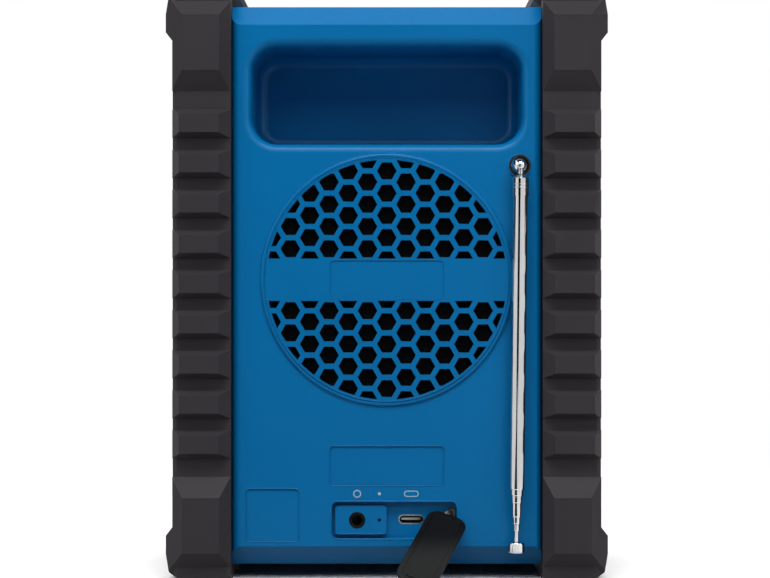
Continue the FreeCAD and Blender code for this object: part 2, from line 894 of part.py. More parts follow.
def driver_basket():
    z = front_grille_z
    flange = ring(0, z, flange_bore, flange_radius, driver_ring_y, flange_back_y)
    wide, narrow, t = flange_bore, basket_foot_radius, basket_wall
    bowl = funnel(0, z, wide + t, narrow + t, flange_back_y, basket_floor_y)
    bowl = bowl.cut(funnel(0, z, wide, narrow, flange_back_y, basket_floor_y))
    floor = ring(0, z, magnet_bore, narrow + t, basket_floor_y - t, basket_floor_y)
    basket = joined([flange, bowl, floor])
    middle = (flange_back_y + basket_floor_y) / 2
    centre = V(0, middle - basket_window_radius / 2, z)
    windows = []
    for x, wz in around(0, z, 1.0, basket_windows, 0.0):
        window = Part.makeCylinder(basket_window_radius, 2 * wide, centre, V(x, 0, wz - z))
        windows.append(window)
    y0, y1 = driver_ring_y - cut_over, flange_back_y + cut_over
    windows += [disc(x, sz, screw_radius + loose_gap, y0, y1) for x, sz in driver_screw_places()]
    return basket.cut(windows)


def driver_magnet():
    """Front plate, ring magnet and back plate with its pole, as three solids."""
    z, y = front_grille_z, basket_floor_y
    plate = ring(0, z, gap_radius, magnet_plate_radius, y, y + magnet_plate_thickness)
    y += magnet_plate_thickness
    magnet = ring(0, z, magnet_bore, magnet_radius, y, y + magnet_thickness)
    y += magnet_thickness
    back = disc(0, z, magnet_plate_radius, y, y + magnet_plate_thickness)
    pole = disc(0, z, pole_radius, basket_floor_y, y + cut_over)
    return Part.makeCompound([plate, magnet, joined([back, pole])])


def cone_radius(y):
    """Inner radius of the paper cone at a level."""
    share = (cone_apex_y - y) / cone_depth
    return coil_outer + share * (cone_rim - coil_outer)


def driver_cone():
    z, t = front_grille_z, cone_thickness
    paper = funnel(0, z, cone_rim, coil_outer, cone_front_y, cone_apex_y)
    return paper.cut(funnel(0, z, cone_rim - t, coil_outer - t, cone_front_y, cone_apex_y))


def voice_coil():
    return ring(0, front_grille_z, coil_inner, coil_outer, cone_apex_y, cone_apex_y + coil_length)


def dust_cap():
    """A shallow dome over the hole in the cone."""
    rim, rise = dust_cap_radius, dust_cap_height
    radius = (rim**2 + rise**2) / (2 * rise)
    base = cone_apex_y - cone_depth * (rim + cone_thickness - coil_outer) / (cone_rim - coil_outer)
    centre = V(0, base + radius - rise, front_grille_z)
    ball = Part.makeSphere(radius, centre).cut(Part.makeSphere(radius - dust_cap_thickness, centre))
    z0, z1 = front_grille_z - rim, front_grille_z + rim
    return ball.common(box(-rim, rim, base - rise - cut_over, base, z0, z1))


def driver_surround():
    z, y, t = front_grille_z, driver_ring_y, roll_thickness
    lip = ring(0, z, flange_bore - t, flange_bore + roll_lip, y - t, y)
    roll = half_roll(z, cone_rim, flange_bore, y, -1)
    inner = ring(0, z, cone_rim - roll_lip, cone_rim + t, y, cone_front_y)
    return joined([lip, roll, inner])


def driver_spider():
    y = cone_apex_y + spider_set_back
    share = (y - flange_back_y) / basket_depth
    outer = flange_bore + share * (basket_foot_radius - flange_bore) - loose_gap
    return ring(0, front_grille_z, coil_outer + seat_gap, outer, y - spider_thickness, y)


def driver_screws():
    screws = []
    for x, z in driver_screw_places():
        head = disc(x, z, screw_head_radius, flange_back_y, flange_back_y + screw_head)
        screws.append(joined([head, disc(x, z, screw_radius, -inner_y, flange_back_y)]))
    return Part.makeCompound(screws)


def radiator_frame():
    y0, y1 = radiator_boss_y - radiator_frame_thickness, radiator_boss_y
    frame = [disc(0, grille_z, radiator_frame_outer, y0, y1)]
    frame = joined(frame + radiator_ears(radiator_ear_radius, y0, y1))
    holes = radiator_ears(screw_radius + loose_gap, y0 - cut_over, y1 + cut_over)
    return frame.cut([disc(0, grille_z, radiator_frame_inner, y0 - cut_over, y1 + cut_over)] + holes)


def radiator_surround():
    y, t = radiator_boss_y, roll_thickness
    lip = ring(0, grille_z, radiator_frame_inner - t, radiator_frame_inner + roll_lip, y, y + t)
    roll = half_roll(grille_z, radiator_plate_radius, radiator_frame_inner, y, -1)
    inner = ring(0, grille_z, radiator_plate_radius - roll_lip, radiator_plate_radius + t, y, y + t)
    return joined([lip, roll, inner])


def radiator_plate():
    y1 = radiator_boss_y
    y0 = y1 - radiator_plate_thickness
    plate = disc(0, grille_z, radiator_plate_radius - seat_gap, y0, y1)
    weight = disc(0, grille_z, radiator_weight_radius, y0 - radiator_weight_thickness, y0)
    return joined([plate, weight])


def radiator_screws():
    screws = []
    back = radiator_boss_y - radiator_frame_thickness
    for x, z in around(0, grille_z, radiator_ear_circle, 4):
        head = disc(x, z, screw_head_radius, back - screw_head, back)
        screws.append(joined([head, disc(x, z, screw_radius, back, inner_y - screw_end_gap)]))
    return Part.makeCompound(screws)


def display_lens():
    y = -panel_y
    return slab((lens_x, lens_z), (lens_width, lens_height), lens_corner, "xz", y, y + lens_thickness)


def display_module():
    size = (lens_width - 2 * module_margin, lens_height - 2 * module_margin)
    front = control_board_y - module_thickness
    return slab((lens_x, lens_z), size, module_corner, "xz", front, control_board_y)


def control_board():
    y = control_board_y
    size = (control_board_width, control_board_height)
    board = slab((0, control_board_z), size, board_corner, "xz", y, y + board_thickness)
    chip = box(-chip_size, chip_size, y + board_thickness, y + board_thickness + chip_height,
               control_board_z - chip_size, control_board_z + chip_size)
    return joined([board, chip])


def encoder():
    half, y = encoder_size / 2, control_board_y
    body = box(knob_x - half, knob_x + half, y - encoder_depth, y, knob_z - half, knob_z + half)
    bushing = disc(knob_x, knob_z, bushing_radius, -panel_y + bushing_set_back, y - encoder_depth)
    bore = disc(knob_x, knob_z, shaft_radius + running_gap, -panel_y - cut_over, y - encoder_depth)
    return joined([body, bushing]).cut(bore)


def knob_shaft():
    y = control_board_y - encoder_depth - loose_gap
    return disc(knob_x, knob_z, shaft_radius, y - shaft_length, y)


def tuning_knob():
    front = -panel_y - knob_gap - knob_height
    body = disc(knob_x, knob_z, knob_radius, front, -panel_y - knob_gap)
    body = body.makeFillet(knob_edge, circles_at_y(body, front))
    flutes = []
    for x, z in around(knob_x, knob_z, knob_radius + knob_flute_radius / 2, knob_flutes, 0.0):
        flutes.append(disc(x, z, knob_flute_radius, front + knob_flute_start, -panel_y))
    dish = disc(knob_x, knob_z, knob_dish_radius, front - cut_over, front + knob_dish_depth)
    spot_floor = front + knob_dish_depth + pointer_depth
    spot = disc(knob_x, knob_z + pointer_distance, pointer_radius, front, spot_floor)
    shaft_end = control_board_y - encoder_depth - loose_gap - shaft_length
    bore = disc(knob_x, knob_z, shaft_radius + press_gap, shaft_end, 0)
    return body.cut(flutes + [dish, spot, bore])


def key(x):
    """One push key: cap, retaining flange and stem."""
    front, wall = -panel_y - key_proud, -inner_y
    cap = slab((x, key_z), (key_width, key_height), key_corner, "xz", front, wall + loose_gap)
    face = edges_at_y(cap, front, case_width, key_z - key_height, key_z + key_height)
    cap = cap.makeFillet(key_edge, face)
    size = (key_width + 2 * key_flange_lip, key_height + 2 * key_flange_lip)
    flange = slab((x, key_z), size, key_corner, "xz", wall + loose_gap, wall + loose_gap + key_flange)
    end = control_board_y - key_travel - loose_gap
    stem = slab((x, key_z), (key_stem_width, key_stem_height), key_stem_corner, "xz", wall + loose_gap, end)
    return joined([cap, flange, stem])


def keypad_mat():
    """The rubber mat on the board, with a guide hole for each key's stem."""
    y = control_board_y
    width = key_pitch * (key_count - 1) + key_stem_width + 2 * key_mat_end
    size = (width, key_height + 2 * key_mat_side)
    mat = slab((0, key_z), size, key_mat_corner, "xz", y - key_mat_thickness, y)
    size = (key_stem_width + 2 * loose_gap, key_stem_height + 2 * loose_gap)
    y0, y1 = y - key_mat_thickness - cut_over, y + cut_over
    holes = [slab((x, key_z), size, key_mat_hole_corner, "xz", y0, y1) for x in key_places()]
    return mat.cut(holes)


def aux_socket():
    front = island_y + jack_proud
    nose = disc(jack_x, port_z, jack_radius, port_wall_y - seat_gap, front)
    nose = nose.makeFillet(jack_edge, circles_at_y(nose, front))
    half, back = jack_body_width / 2, port_wall_y - seat_gap - jack_body_length
    body = box(jack_x - half, jack_x + half, back, port_wall_y - seat_gap,
               port_z - jack_body_height / 2, port_z + jack_body_height / 2)
    bore = disc(jack_x, port_z, jack_bore_radius, front - jack_bore_length, front + cut_over)
    return joined([body, nose]).cut(bore)


def usb_socket():
    front = recess_floor_y - usb_set_back
    back, t = front - usb_length, usb_wall
    size, inner = (usb_width, usb_height), (usb_width - 2 * t, usb_height - 2 * t)
    shell = flat_oval((usb_x, port_z), size, back, front)
    hole = flat_oval((usb_x, port_z), inner, back + usb_back_wall, front + cut_over)
    tongue = slab((usb_x, port_z), (usb_tongue_width, usb_tongue_height), usb_tongue_corner, "xz",
                  back, back + usb_back_wall + usb_tongue_length)
    half = usb_width / 2 - usb_foot_inset
    foot_top, foot_front = port_z - usb_height / 4, port_wall_y - loose_gap
    foot = box(usb_x - half, usb_x + half, back, foot_front, port_board_top, foot_top)
    return joined([joined([shell, foot]).cut(hole), tongue])


def port_board():
    size = (port_board_width, port_board_depth)
    centre = (recess_x, port_board_back - port_board_depth / 2)
    return slab(centre, size, board_corner, "xy", port_board_top - board_thickness, port_board_top)


def reset_front():
    return port_wall_y - loose_gap


def reset_switch():
    half = reset_switch_size / 2
    front = reset_front() - reset_travel - switch_set_back
    back = reset_front() - reset_length - reset_travel - switch_back_wall
    low = port_board_top
    body = box(pinhole_x - half, pinhole_x + half, back, front, low, low + reset_switch_height)
    bore_end = reset_front() - reset_length - reset_travel - loose_gap
    bore = disc(pinhole_x, port_z, reset_radius + running_gap, bore_end, front + cut_over)
    return body.cut(bore)


def reset_button():
    return disc(pinhole_x, port_z, reset_radius, reset_front() - reset_length, reset_front())


def cover_centre_y():
    return panel_y + cover_gap + cover_thickness / 2


def cover_pivot():
    root = cover_x - cover_length / 2
    return V(root + cover_pivot_dx, cover_centre_y(), port_z + cover_pivot_dz)


def swung_open(shape):
    """Turns a piece of the port cover from closed to the hanging place it has at rest."""
    moved = shape.copy()
    moved.rotate(cover_pivot(), V(*cover_axis), cover_open_angle)
    return moved


def port_cover():
    """A rubber plate with a shallow sunk field inside its rim."""
    y0 = panel_y + cover_gap
    y1 = y0 + cover_thickness
    centre, size = (cover_x, port_z), (cover_length, cover_height)
    plate = slab(centre, size, cover_corner, "xz", y0, y1)
    both = edges_at_y(plate, y1, case_width, 0, height)
    plate = plate.makeFillet(cover_edge, both)
    size = (cover_length - 2 * cover_rim_inset, cover_height - 2 * cover_rim_inset)
    sunk = slab(centre, size, cover_corner - cover_rim_inset, "xz", y1 - cover_rim_depth, y1 + cut_over)
    return swung_open(plate.cut(sunk))


def cover_plugs():
    """The two soft plugs under the cover, for the round and the flat socket."""
    y1 = panel_y + cover_gap
    jack = disc(jack_x, port_z, jack_bore_radius - cover_plug_gap, y1 - cover_plug_length, y1)
    size = (usb_width - 2 * usb_wall - 2 * cover_plug_gap, usb_height - 2 * usb_wall - 2 * cover_plug_gap)
    depth = recess_depth + cover_plug_length / 2
    flat = flat_oval((usb_x, port_z), size, y1 - depth, y1)
    return swung_open(Part.makeCompound([jack, flat]))


def anchor_x():
    return recess_x - recess_width / 2 + loose_gap + anchor_length / 2


def cover_anchor():
    """The rubber foot of the cover, pressed into the end of the recess."""
    size = (anchor_length, anchor_height)
    return slab((anchor_x(), port_z), size, anchor_corner, "xz", recess_floor_y, panel_y - anchor_below)


def cover_strap():
    """The soft web between the foot and the open cover."""
    y, half = panel_y - anchor_below, strap_width / 2
    t, root = strap_thickness / 2, cover_x - cover_length / 2 + strap_inset
    section = ((-t, -half), (t, -half), (t, half), (-t, half), (-t, -half))
    foot = [V(anchor_x() + dx, y, port_z + dz) for dx, dz in section]
    head = [V(root + dx, panel_y + cover_gap, port_z + dz) for dx, dz in section]
    return Part.makeLoft([Part.makePolygon(foot), swung_open(Part.makePolygon(head))], True, True)


def leaned(shape):
    """Turns a piece of the mast from upright to the small lean that it has when folded."""
    moved = shape.copy()
    moved.rotate(V(aerial_x, mast_y, aerial_z), V(0, -1, 0), aerial_lean)
    return moved


def aerial_stud():
    """The swivelling stud, with the one prong that carries the mast's round head."""
    flat = aerial_x + head_flat + fork_gap
    foot = mast_y - head_radius - fork_foot_gap
    ball = Part.makeSphere(fork_radius, V(aerial_x, mast_y, aerial_z))
    prong = ball.common(box(flat, flat + fork_radius, foot, mast_y + fork_radius,
                            aerial_z - fork_radius, aerial_z + fork_radius))
    neck = disc(aerial_x, aerial_z, stud_radius, foot, mast_y)
    neck = neck.common(box(flat, flat + fork_radius, foot, mast_y,
                           aerial_z - stud_radius, aerial_z + stud_radius))
    stud = disc(aerial_x, aerial_z, stud_radius, panel_y - stud_length, foot)
    bore = beam(mast_y, aerial_z, pin_radius, flat - cut_over, flat + fork_radius)
    return leaned(joined([prong, neck, stud]).cut(bore))


def aerial_pin():
    end = aerial_x + math.sqrt(fork_radius**2 - pin_radius**2) - running_gap
    return leaned(beam(mast_y, aerial_z, pin_radius, aerial_x - head_flat, end))


def aerial_nut():
    back = inner_y - nut_radius - running_gap
    y0 = back - nut_thickness
    blank = ring(aerial_x, aerial_z, stud_radius, nut_radius, y0, back)
    points = around(aerial_x, aerial_z, nut_radius, 6, 0.0)
    return blank.common(prism(points, "xz", y0, back))


def aerial_barrel():
    """The mast's round head, flat where it meets the prong, its neck and the barrel below it."""
    x, y, z = aerial_x, mast_y, aerial_z
    head = Part.makeSphere(head_radius, V(x, y, z))
    neck = post(x, y, neck_radius, barrel_top, z)
    shoulder = Part.makeCone(barrel_radius, neck_radius, barrel_shoulder, V(x, y, barrel_top), V(0, 0, 1))
    body = post(x, y, barrel_radius, barrel_bottom, barrel_top)
    bead = post(x, y, barrel_radius + barrel_ring, barrel_bottom, barrel_bottom + barrel_ring_height)
    spigot_radius = tube_diameters[1] / 2
    spigot = post(x, y, spigot_radius, barrel_bottom - spigot_length, barrel_bottom)
    flat = box(x + head_flat, x + barrel_radius, y - head_radius, y + head_radius,
               z - head_radius, z + head_radius)
    bore = beam(y, z, pin_radius + running_gap, x - head_flat - running_gap, x + barrel_radius)
    return leaned(joined([head, neck, shoulder, body, bead, spigot]).cut([flat, bore]))


def tube_ends():
    """The lower ends of the tubes, from the outer one in."""
    ends = [barrel_bottom - outer_tube_length]
    for step in tube_steps:
        ends.append(ends[-1] - step)
    return ends


def aerial_tube(index):
    """One tube of the aerial. The bore of each lets the next one slide."""
    top = barrel_bottom
    if index:
        top -= spigot_length + tube_top_step * (index + 1)
    low = tube_ends()[index]
    bore = tube_diameters[index + 1] / 2 + running_gap
    tube = post(aerial_x, mast_y, tube_diameters[index] / 2, low, top)
    return leaned(tube.cut(post(aerial_x, mast_y, bore, low - cut_over, top + cut_over)))


def aerial_rod():
    """The thin rod with its tip button."""
    index = len(tube_diameters) - 1
    low = tube_ends()[-1] - rod_shown
    top = barrel_bottom - spigot_length - tube_top_step * (index + 1)
    tip = post(aerial_x, mast_y, tip_radius, low - tip_height, low)
    tip = tip.makeFillet(tip_round, [e for e in tip.Edges if len(e.Vertexes) == 1])
    return leaned(joined([tip, post(aerial_x, mast_y, tube_diameters[index] / 2, low - cut_over, top)]))


def cell_places():
    first = battery_y - cell_pitch * (cell_count - 1) / 2
    return [first + cell_pitch * i for i in range(cell_count)]


def cell_centre_z():
    return tray_floor_z + tray_wall + cell_radius + running_gap


def battery_cells():
    z, half = cell_centre_z(), cell_length / 2
    return Part.makeCompound([beam(y, z, cell_radius, -half, half) for y in cell_places()])


def battery_tray():
    half_x = cell_length / 2 + loose_gap + tray_wall
    half_y = cell_pitch * (cell_count - 1) / 2 + cell_radius + loose_gap + tray_wall
    top = tray_floor_z + tray_height
    outer = box(-half_x, half_x, battery_y - half_y, battery_y + half_y, tray_floor_z, top)
    x, y, z = half_x - tray_wall, half_y - tray_wall, tray_floor_z + tray_wall
    return outer.cut(box(-x, x, battery_y - y, battery_y + y, z, top + cut_over))


def amp_board_x():
    return -case_width / 2 + case_wall + amp_post_length


def amp_board():
    """The amplifier board on the side wall, with its chip and capacitors as separate solids."""
    x = amp_board_x()
    top = x + board_thickness
    size = (amp_board_depth, amp_board_height)
    board = slab((amp_board_y, amp_board_z), size, board_corner, "yz", x, top)
    half = chip_size / 2
    parts = [board, box(top, top + chip_height, amp_board_y - half, amp_board_y + half,
                        amp_board_z - half, amp_board_z + half)]
    first = amp_board_y - capacitor_pitch * (capacitor_count - 1) / 2
    for i in range(capacitor_count):
        y, z = first + capacitor_pitch * i, amp_board_z + amp_board_height / 4
        parts.append(beam(y, z, capacitor_radius, top, top + capacitor_height))
    return Part.makeCompound(parts)


def lead(points):
    """An insulated lead: straight runs joined by round bends."""
    vectors = [V(*p) for p in points]
    edges, start = [], vectors[0]
    for before, corner, after in zip(vectors, vectors[1:], vectors[2:]):
        into, out = corner - before, after - corner
        turn = into.getAngle(out)
        set_back = lead_bend_share * min(into.Length, out.Length)
        into.normalize()
        out.normalize()
        first, last = corner - into * set_back, corner + out * set_back
        radius = set_back / math.tan(turn / 2)
        inward = (out - into).normalize()
        middle = corner + inward * (radius / math.cos(turn / 2) - radius)
        edges += [Part.makeLine(start, first), Part.Arc(first, middle, last).toShape()]
        start = last
    edges.append(Part.makeLine(start, vectors[-1]))
    path = Part.Wire(edges)
    profile = Part.Wire(Part.makeCircle(lead_radius, vectors[0], vectors[1] - vectors[0]))
    return path.makePipeShell([profile], True, False)


def driver_leads():
    """A pair of leads from the amplifier board to the driver's basket."""
    x = amp_board_x() + board_thickness
    y = basket_floor_y - basket_wall - lead_spacing
    leads = []
    for i in (0, 1):
        z = amp_board_z - driver_lead_drop - lead_spacing * i
        points = [(x, driver_lead_y, z), (x + lead_exit, driver_lead_y, z)]
        points += [(x + driver_lead_bend, y, z), (-basket_foot_radius - driver_lead_end, y, z)]
        leads.append(lead(points))
    return Part.makeCompound(leads)


def battery_leads():
    """A pair of leads from the cells up to the amplifier board."""
    x, half = amp_board_x() + board_thickness, cell_length / 2
    leads = []
    for i in (0, 1):
        y = cell_places()[-1] + battery_lead_side - battery_lead_spacing * i
        z, y_end = cell_centre_z() + battery_lead_rise, y + 2 * battery_lead_side
        z_end = amp_board_z - amp_board_height / 2 + battery_lead_from_end
        points = [(-half, y, z), (-half - battery_lead_exit, y, z)]
        points.append((-half - battery_lead_bend, y + battery_lead_side, z + battery_lead_bend))
        points += [(x + battery_lead_exit, y_end, z_end), (x, y_end, z_end)]
        leads.append(lead(points))
    return Part.makeCompound(leads)


def aerial_lead():
    """The lead from the inner end of the stud down to the amplifier board."""
    x, y = amp_board_x() + board_thickness, panel_y - stud_length - seat_gap
    z_end = amp_board_z + amp_board_height / 2 - aerial_lead_from_end
    y_end = amp_board_y + aerial_lead_from_middle
    return lead([(aerial_x, y, aerial_z), (aerial_x, y - aerial_lead_exit, aerial_z),
                 (x + lead_exit, y_end, z_end), (x, y_end, z_end)])


def sub_parts():
    parts = {
        "front_shell": front_shell(),
        "rear_shell": rear_shell(),
        "case_seal": case_seal(),
        "case_screws": case_screws(),
        "rear_grille": rear_grille(),
        "front_grille": front_grille(),
        "driver_basket": driver_basket(),
        "driver_magnet": driver_magnet(),
        "driver_cone": driver_cone(),
        "voice_coil": voice_coil(),
        "dust_cap": dust_cap(),
        "driver_surround": driver_surround(),
        "driver_spider": driver_spider(),
        "driver_screws": driver_screws(),
        "radiator_frame": radiator_frame(),
        "radiator_surround": radiator_surround(),
        "radiator_plate": radiator_plate(),
        "radiator_screws": radiator_screws(),
        "display_lens": display_lens(),
        "display_module": display_module(),
        "control_board": control_board(),
        "encoder": encoder(),
        "knob_shaft": knob_shaft(),
        "tuning_knob": tuning_knob(),
        "keypad_mat": keypad_mat(),
        "aux_socket": aux_socket(),
        "usb_socket": usb_socket(),
        "port_board": port_board(),
        "reset_switch": reset_switch(),
        "reset_button": reset_button(),
        "port_cover": port_cover(),
        "cover_plugs": cover_plugs(),
        "cover_anchor": cover_anchor(),
        "cover_strap": cover_strap(),
        "aerial_stud": aerial_stud(),
        "aerial_pin": aerial_pin(),
        "aerial_nut": aerial_nut(),
        "aerial_barrel": aerial_barrel(),
        "aerial_rod": aerial_rod(),
        "battery_cells": battery_cells(),
        "battery_tray": battery_tray(),
        "amp_board": amp_board(),
        "driver_leads": driver_leads(),
        "battery_leads": battery_leads(),
        "aerial_lead": aerial_lead(),
    }
    left = bumper()
    parts["bumper_left"] = left
    parts["bumper_right"] = mirrored(left, "x")
    for i, x in enumerate(key_places()):
        parts[f"key_{i + 1}"] = key(x)
    for i in range(len(tube_diameters) - 1):
        parts[f"aerial_tube_{i + 1}"] = aerial_tube(i)
    return parts


def main():
    os.makedirs("parts", exist_ok=True)
    for name, shape in sub_parts().items():
        shape.exportStep(f"parts/{name}.step")
        print(f"{name}: {len(shape.Solids)} solids, {shape.Volume:.1f} mm3, valid {shape.isValid()}")
    pivot = cover_pivot()
    print(f"cover pivot {pivot.x:.3f} {pivot.y:.3f} {pivot.z:.3f}")


main()
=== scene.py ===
import bpy
import bmesh
import math
from mathutils import Matrix, Vector


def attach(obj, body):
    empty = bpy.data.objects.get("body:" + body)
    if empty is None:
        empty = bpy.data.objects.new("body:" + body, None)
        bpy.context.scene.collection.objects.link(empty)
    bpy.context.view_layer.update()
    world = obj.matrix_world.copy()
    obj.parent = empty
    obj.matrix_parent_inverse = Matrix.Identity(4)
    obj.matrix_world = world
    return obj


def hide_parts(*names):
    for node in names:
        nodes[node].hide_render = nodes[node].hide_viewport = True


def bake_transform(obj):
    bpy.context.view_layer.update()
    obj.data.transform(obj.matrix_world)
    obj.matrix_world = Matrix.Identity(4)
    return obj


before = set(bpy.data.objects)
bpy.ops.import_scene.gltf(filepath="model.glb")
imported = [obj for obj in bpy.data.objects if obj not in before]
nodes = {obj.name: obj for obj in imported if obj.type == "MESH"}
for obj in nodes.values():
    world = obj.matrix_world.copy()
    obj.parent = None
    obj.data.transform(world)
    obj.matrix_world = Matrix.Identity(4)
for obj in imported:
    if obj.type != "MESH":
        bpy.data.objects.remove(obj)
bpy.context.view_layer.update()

# X runs across the radio, +Y out of the aerial side, Z up. Pieces are drawn in millimetres.
mm = 0.001

# Sizes repeated from the part. A centre is (x, z) and a size is (width, height). Angles are in
# degrees.
panel_y, front_panel_y = 55.0, -55.0
port_z = 21.1
recess_x, recess_size, recess_corner = -2.6, (43.8, 12.9), 2.0
island_x, island_size, island_corner, island_y = 9.1, (18.1, 10.0), 1.2, 54.2
jack_x, pinhole_x, usb_x = 10.4, 2.6, -8.6
rear_grille_z, rear_grille_radius, rear_grille_y = 105.5, 44.4, 55.9
front_grille_z = 84.0
field_corner = 1.6
pocket_wall_x, peg_hole_centre = 47.5, (26, 163)
aerial_x, aerial_y, aerial_z, aerial_lean = -46.7, 58.9, 145.6, 0.65
# Diameter of each tube of the mast, and the level of its end
tube_ends = ((5.4, 32.2), (4.6, 30.0), (4.0, 27.5), (3.4, 22.6), (2.8, 20.2), (2.2, 17.8))
cover_x, cover_length, cover_height, cover_corner = -0.1, 41.0, 14.2, 4.5
cover_in, cover_out = 55.3, 56.9
cover_pivot, cover_axis, cover_open = (-20.1, 56.1, 23.1), (0.5, math.sqrt(0.5), 0.5), 84.0
anchor_x = -22.75
knob_x, knob_z, knob_dish_y = 31.0, 172.0, -61.1
first_key_x, key_pitch, key_z, key_front_y = -38, 19, 146.0, -56.3
display_centre, display_y = (-20.0, 172.0), -50.6

# How finely round shapes are drawn, and what counts as one point and as a crease
corner_steps = 8
bead_points = 10
weld_distance = 0.001
crease_angle = 35


def linear(hex_colour):
    """An sRGB hex colour as linear RGBA."""
    parts = [int(hex_colour[i:i + 2], 16) / 255 for i in (1, 3, 5)]
    return [p / 12.92 if p <= 0.04045 else ((p + 0.055) / 1.055) ** 2.4 for p in parts] + [1.0]


def add_node(tree, kind, settings=None, inputs=None):
    """One node with its settings. An input is a plain value or another node's output to link."""
    node = tree.nodes.new(kind)
    for name, value in (settings or {}).items():
        setattr(node, name, value)
    for socket, value in (inputs or {}).items():
        if isinstance(value, bpy.types.NodeSocket):
            tree.links.new(value, node.inputs[socket])
        else:
            node.inputs[socket].default_value = value
    return node


def blank_material(name, **sockets):
    """A material with its shader's own sockets set. Underscores in a name stand for spaces."""
    material = bpy.data.materials.new(name)
    material.use_nodes = True
    shader = material.node_tree.nodes["Principled BSDF"]
    for socket, value in sockets.items():
        shader.inputs[socket.replace("_", " ")].default_value = value
    return material, material.node_tree, shader


def moulded(name, low, high, patch_mm, rough, grain_mm, grain_depth_mm, stretch=(1, 1, 1),
            **sockets):
    """A surface whose shade drifts between two colours over patch_mm, with a fine raised grain.
    rough is the lowest and highest roughness, and stretch draws the grain out along an axis."""
    material, tree, shader = blank_material(name, **sockets)
    place = add_node(tree, "ShaderNodeTexCoord").outputs["Object"]
    patches = add_node(tree, "ShaderNodeTexNoise", None,
                       {"Vector": place, "Scale": 1 / (patch_mm * mm), "Detail": 4.0})
    drawn = add_node(tree, "ShaderNodeMapping", None, {"Vector": place, "Scale": stretch})
    grain = add_node(tree, "ShaderNodeTexNoise", None,
                     {"Vector": drawn.outputs[0], "Scale": 1 / (grain_mm * mm), "Detail": 2.0})
    shade = add_node(tree, "ShaderNodeMix", {"data_type": "RGBA"},
                     {0: patches.outputs[0], 6: linear(low), 7: linear(high)})
    tree.links.new(shade.outputs[2], shader.inputs["Base Color"])
    # Most of the noise lies between 0.3 and 0.7
    gloss = add_node(tree, "ShaderNodeMapRange", None,
                     {"Value": grain.outputs[0], "From Min": 0.3, "From Max": 0.7,
                      "To Min": rough[0], "To Max": rough[1]})
    tree.links.new(gloss.outputs[0], shader.inputs["Roughness"])
    relief = add_node(tree, "ShaderNodeBump", None,
                      {"Strength": 1.0, "Distance": grain_depth_mm * mm,
                       "Height": grain.outputs[0]})
    tree.links.new(relief.outputs[0], shader.inputs["Normal"])
    return material


def painted_light_silicone():
    """Near-black silicone painted a lighter grey over its lowest part: painted light, where the
    hanging cover's lower end catches more light.
    """
    painted_light_start_z, painted_light_full_z = 18, 10
    material = moulded("black silicone with painted light", "#070708", "#0B0B0C", 6, (0.42, 0.58), 0.3, 0.008,
                       IOR=1.43, Specular_IOR_Level=0.1)
    tree = material.node_tree
    shader = tree.nodes["Principled BSDF"]
    shade = shader.inputs["Base Color"].links[0].from_socket
    place = add_node(tree, "ShaderNodeTexCoord").outputs["Object"]
    height = add_node(tree, "ShaderNodeSeparateXYZ", None, {0: place})
    # Painted light: from 18 mm down to 10 mm above the floor the colour turns to a lighter grey,
    # standing in for light on the cover's lower end
    painted_light = add_node(tree, "ShaderNodeMapRange", {"interpolation_type": "SMOOTHSTEP"},
                    {"Value": height.outputs["Z"], "From Min": painted_light_start_z * mm,
                     "From Max": painted_light_full_z * mm})
    mixed = add_node(tree, "ShaderNodeMix", {"data_type": "RGBA"},
                     {0: painted_light.outputs[0], 6: shade, 7: linear("#262625")})
    tree.links.new(mixed.outputs[2], shader.inputs["Base Color"])
    return material


def open_cell_foam():
    """Black reticulated foam: matt struts, with the hollow of each cell painted darker as painted
    shade.
    """
    cell_mm, strut_depth_mm = 0.9, 0.15
    material, tree, shader = blank_material("black open-cell foam", Roughness=0.95,
                                            Specular_IOR_Level=0.1)
    place = add_node(tree, "ShaderNodeTexCoord").outputs["Object"]
    cells = add_node(tree, "ShaderNodeTexVoronoi", {"feature": "DISTANCE_TO_EDGE"},
                     {"Vector": place, "Scale": 1 / (cell_mm * mm)})
    strut = add_node(tree, "ShaderNodeMapRange", None,
                     {"Value": cells.outputs["Distance"], "From Min": 0.02, "From Max": 0.12})
    # Painted shade: the colour darkens towards each cell's middle, where the hollow would lie in
    # shade
    shade = add_node(tree, "ShaderNodeMix", {"data_type": "RGBA"},
                     {0: strut.outputs[0], 6: linear("#0D0D0E"), 7: linear("#040405")})
    tree.links.new(shade.outputs[2], shader.inputs["Base Color"])
    relief = add_node(tree, "ShaderNodeBump", {"invert": True},
                      {"Strength": 0.8, "Distance": strut_depth_mm * mm,
                       "Height": strut.outputs[0]})
    tree.links.new(relief.outputs[0], shader.inputs["Normal"])
    return material


# ABS, injection moulded in a spark-eroded tool: an even satin blue with a very fine grain
blue_abs = moulded("blue moulded ABS", "#00629A", "#0068A2", 30, (0.26, 0.36), 0.35, 0.004,
                   IOR=1.53, Specular_IOR_Level=0.13)
# TPE rubber, overmoulded: charcoal with a soft broad sheen and a coarser pebble grain
bumper_tpe = moulded("charcoal overmoulded TPE", "#2F2C2F", "#353235", 14, (0.45, 0.6), 0.5, 0.014,
                     IOR=1.5, Specular_IOR_Level=0.12)
# Silicone rubber, compression moulded: near black, smoother, with a low waxy shine
cover_silicone = moulded("black moulded silicone", "#131314", "#1B1B1C", 6, (0.28, 0.4), 0.3, 0.006,
                         IOR=1.43)
leaf_silicone = painted_light_silicone()
dust_foam = open_cell_foam()
# Closed-cell foam seal: dull black with a rough skin
seal_foam = moulded("closed-cell EPDM foam", "#101010", "#1B1B1B", 2, (0.75, 0.9), 0.4, 0.05,
                    IOR=1.5)
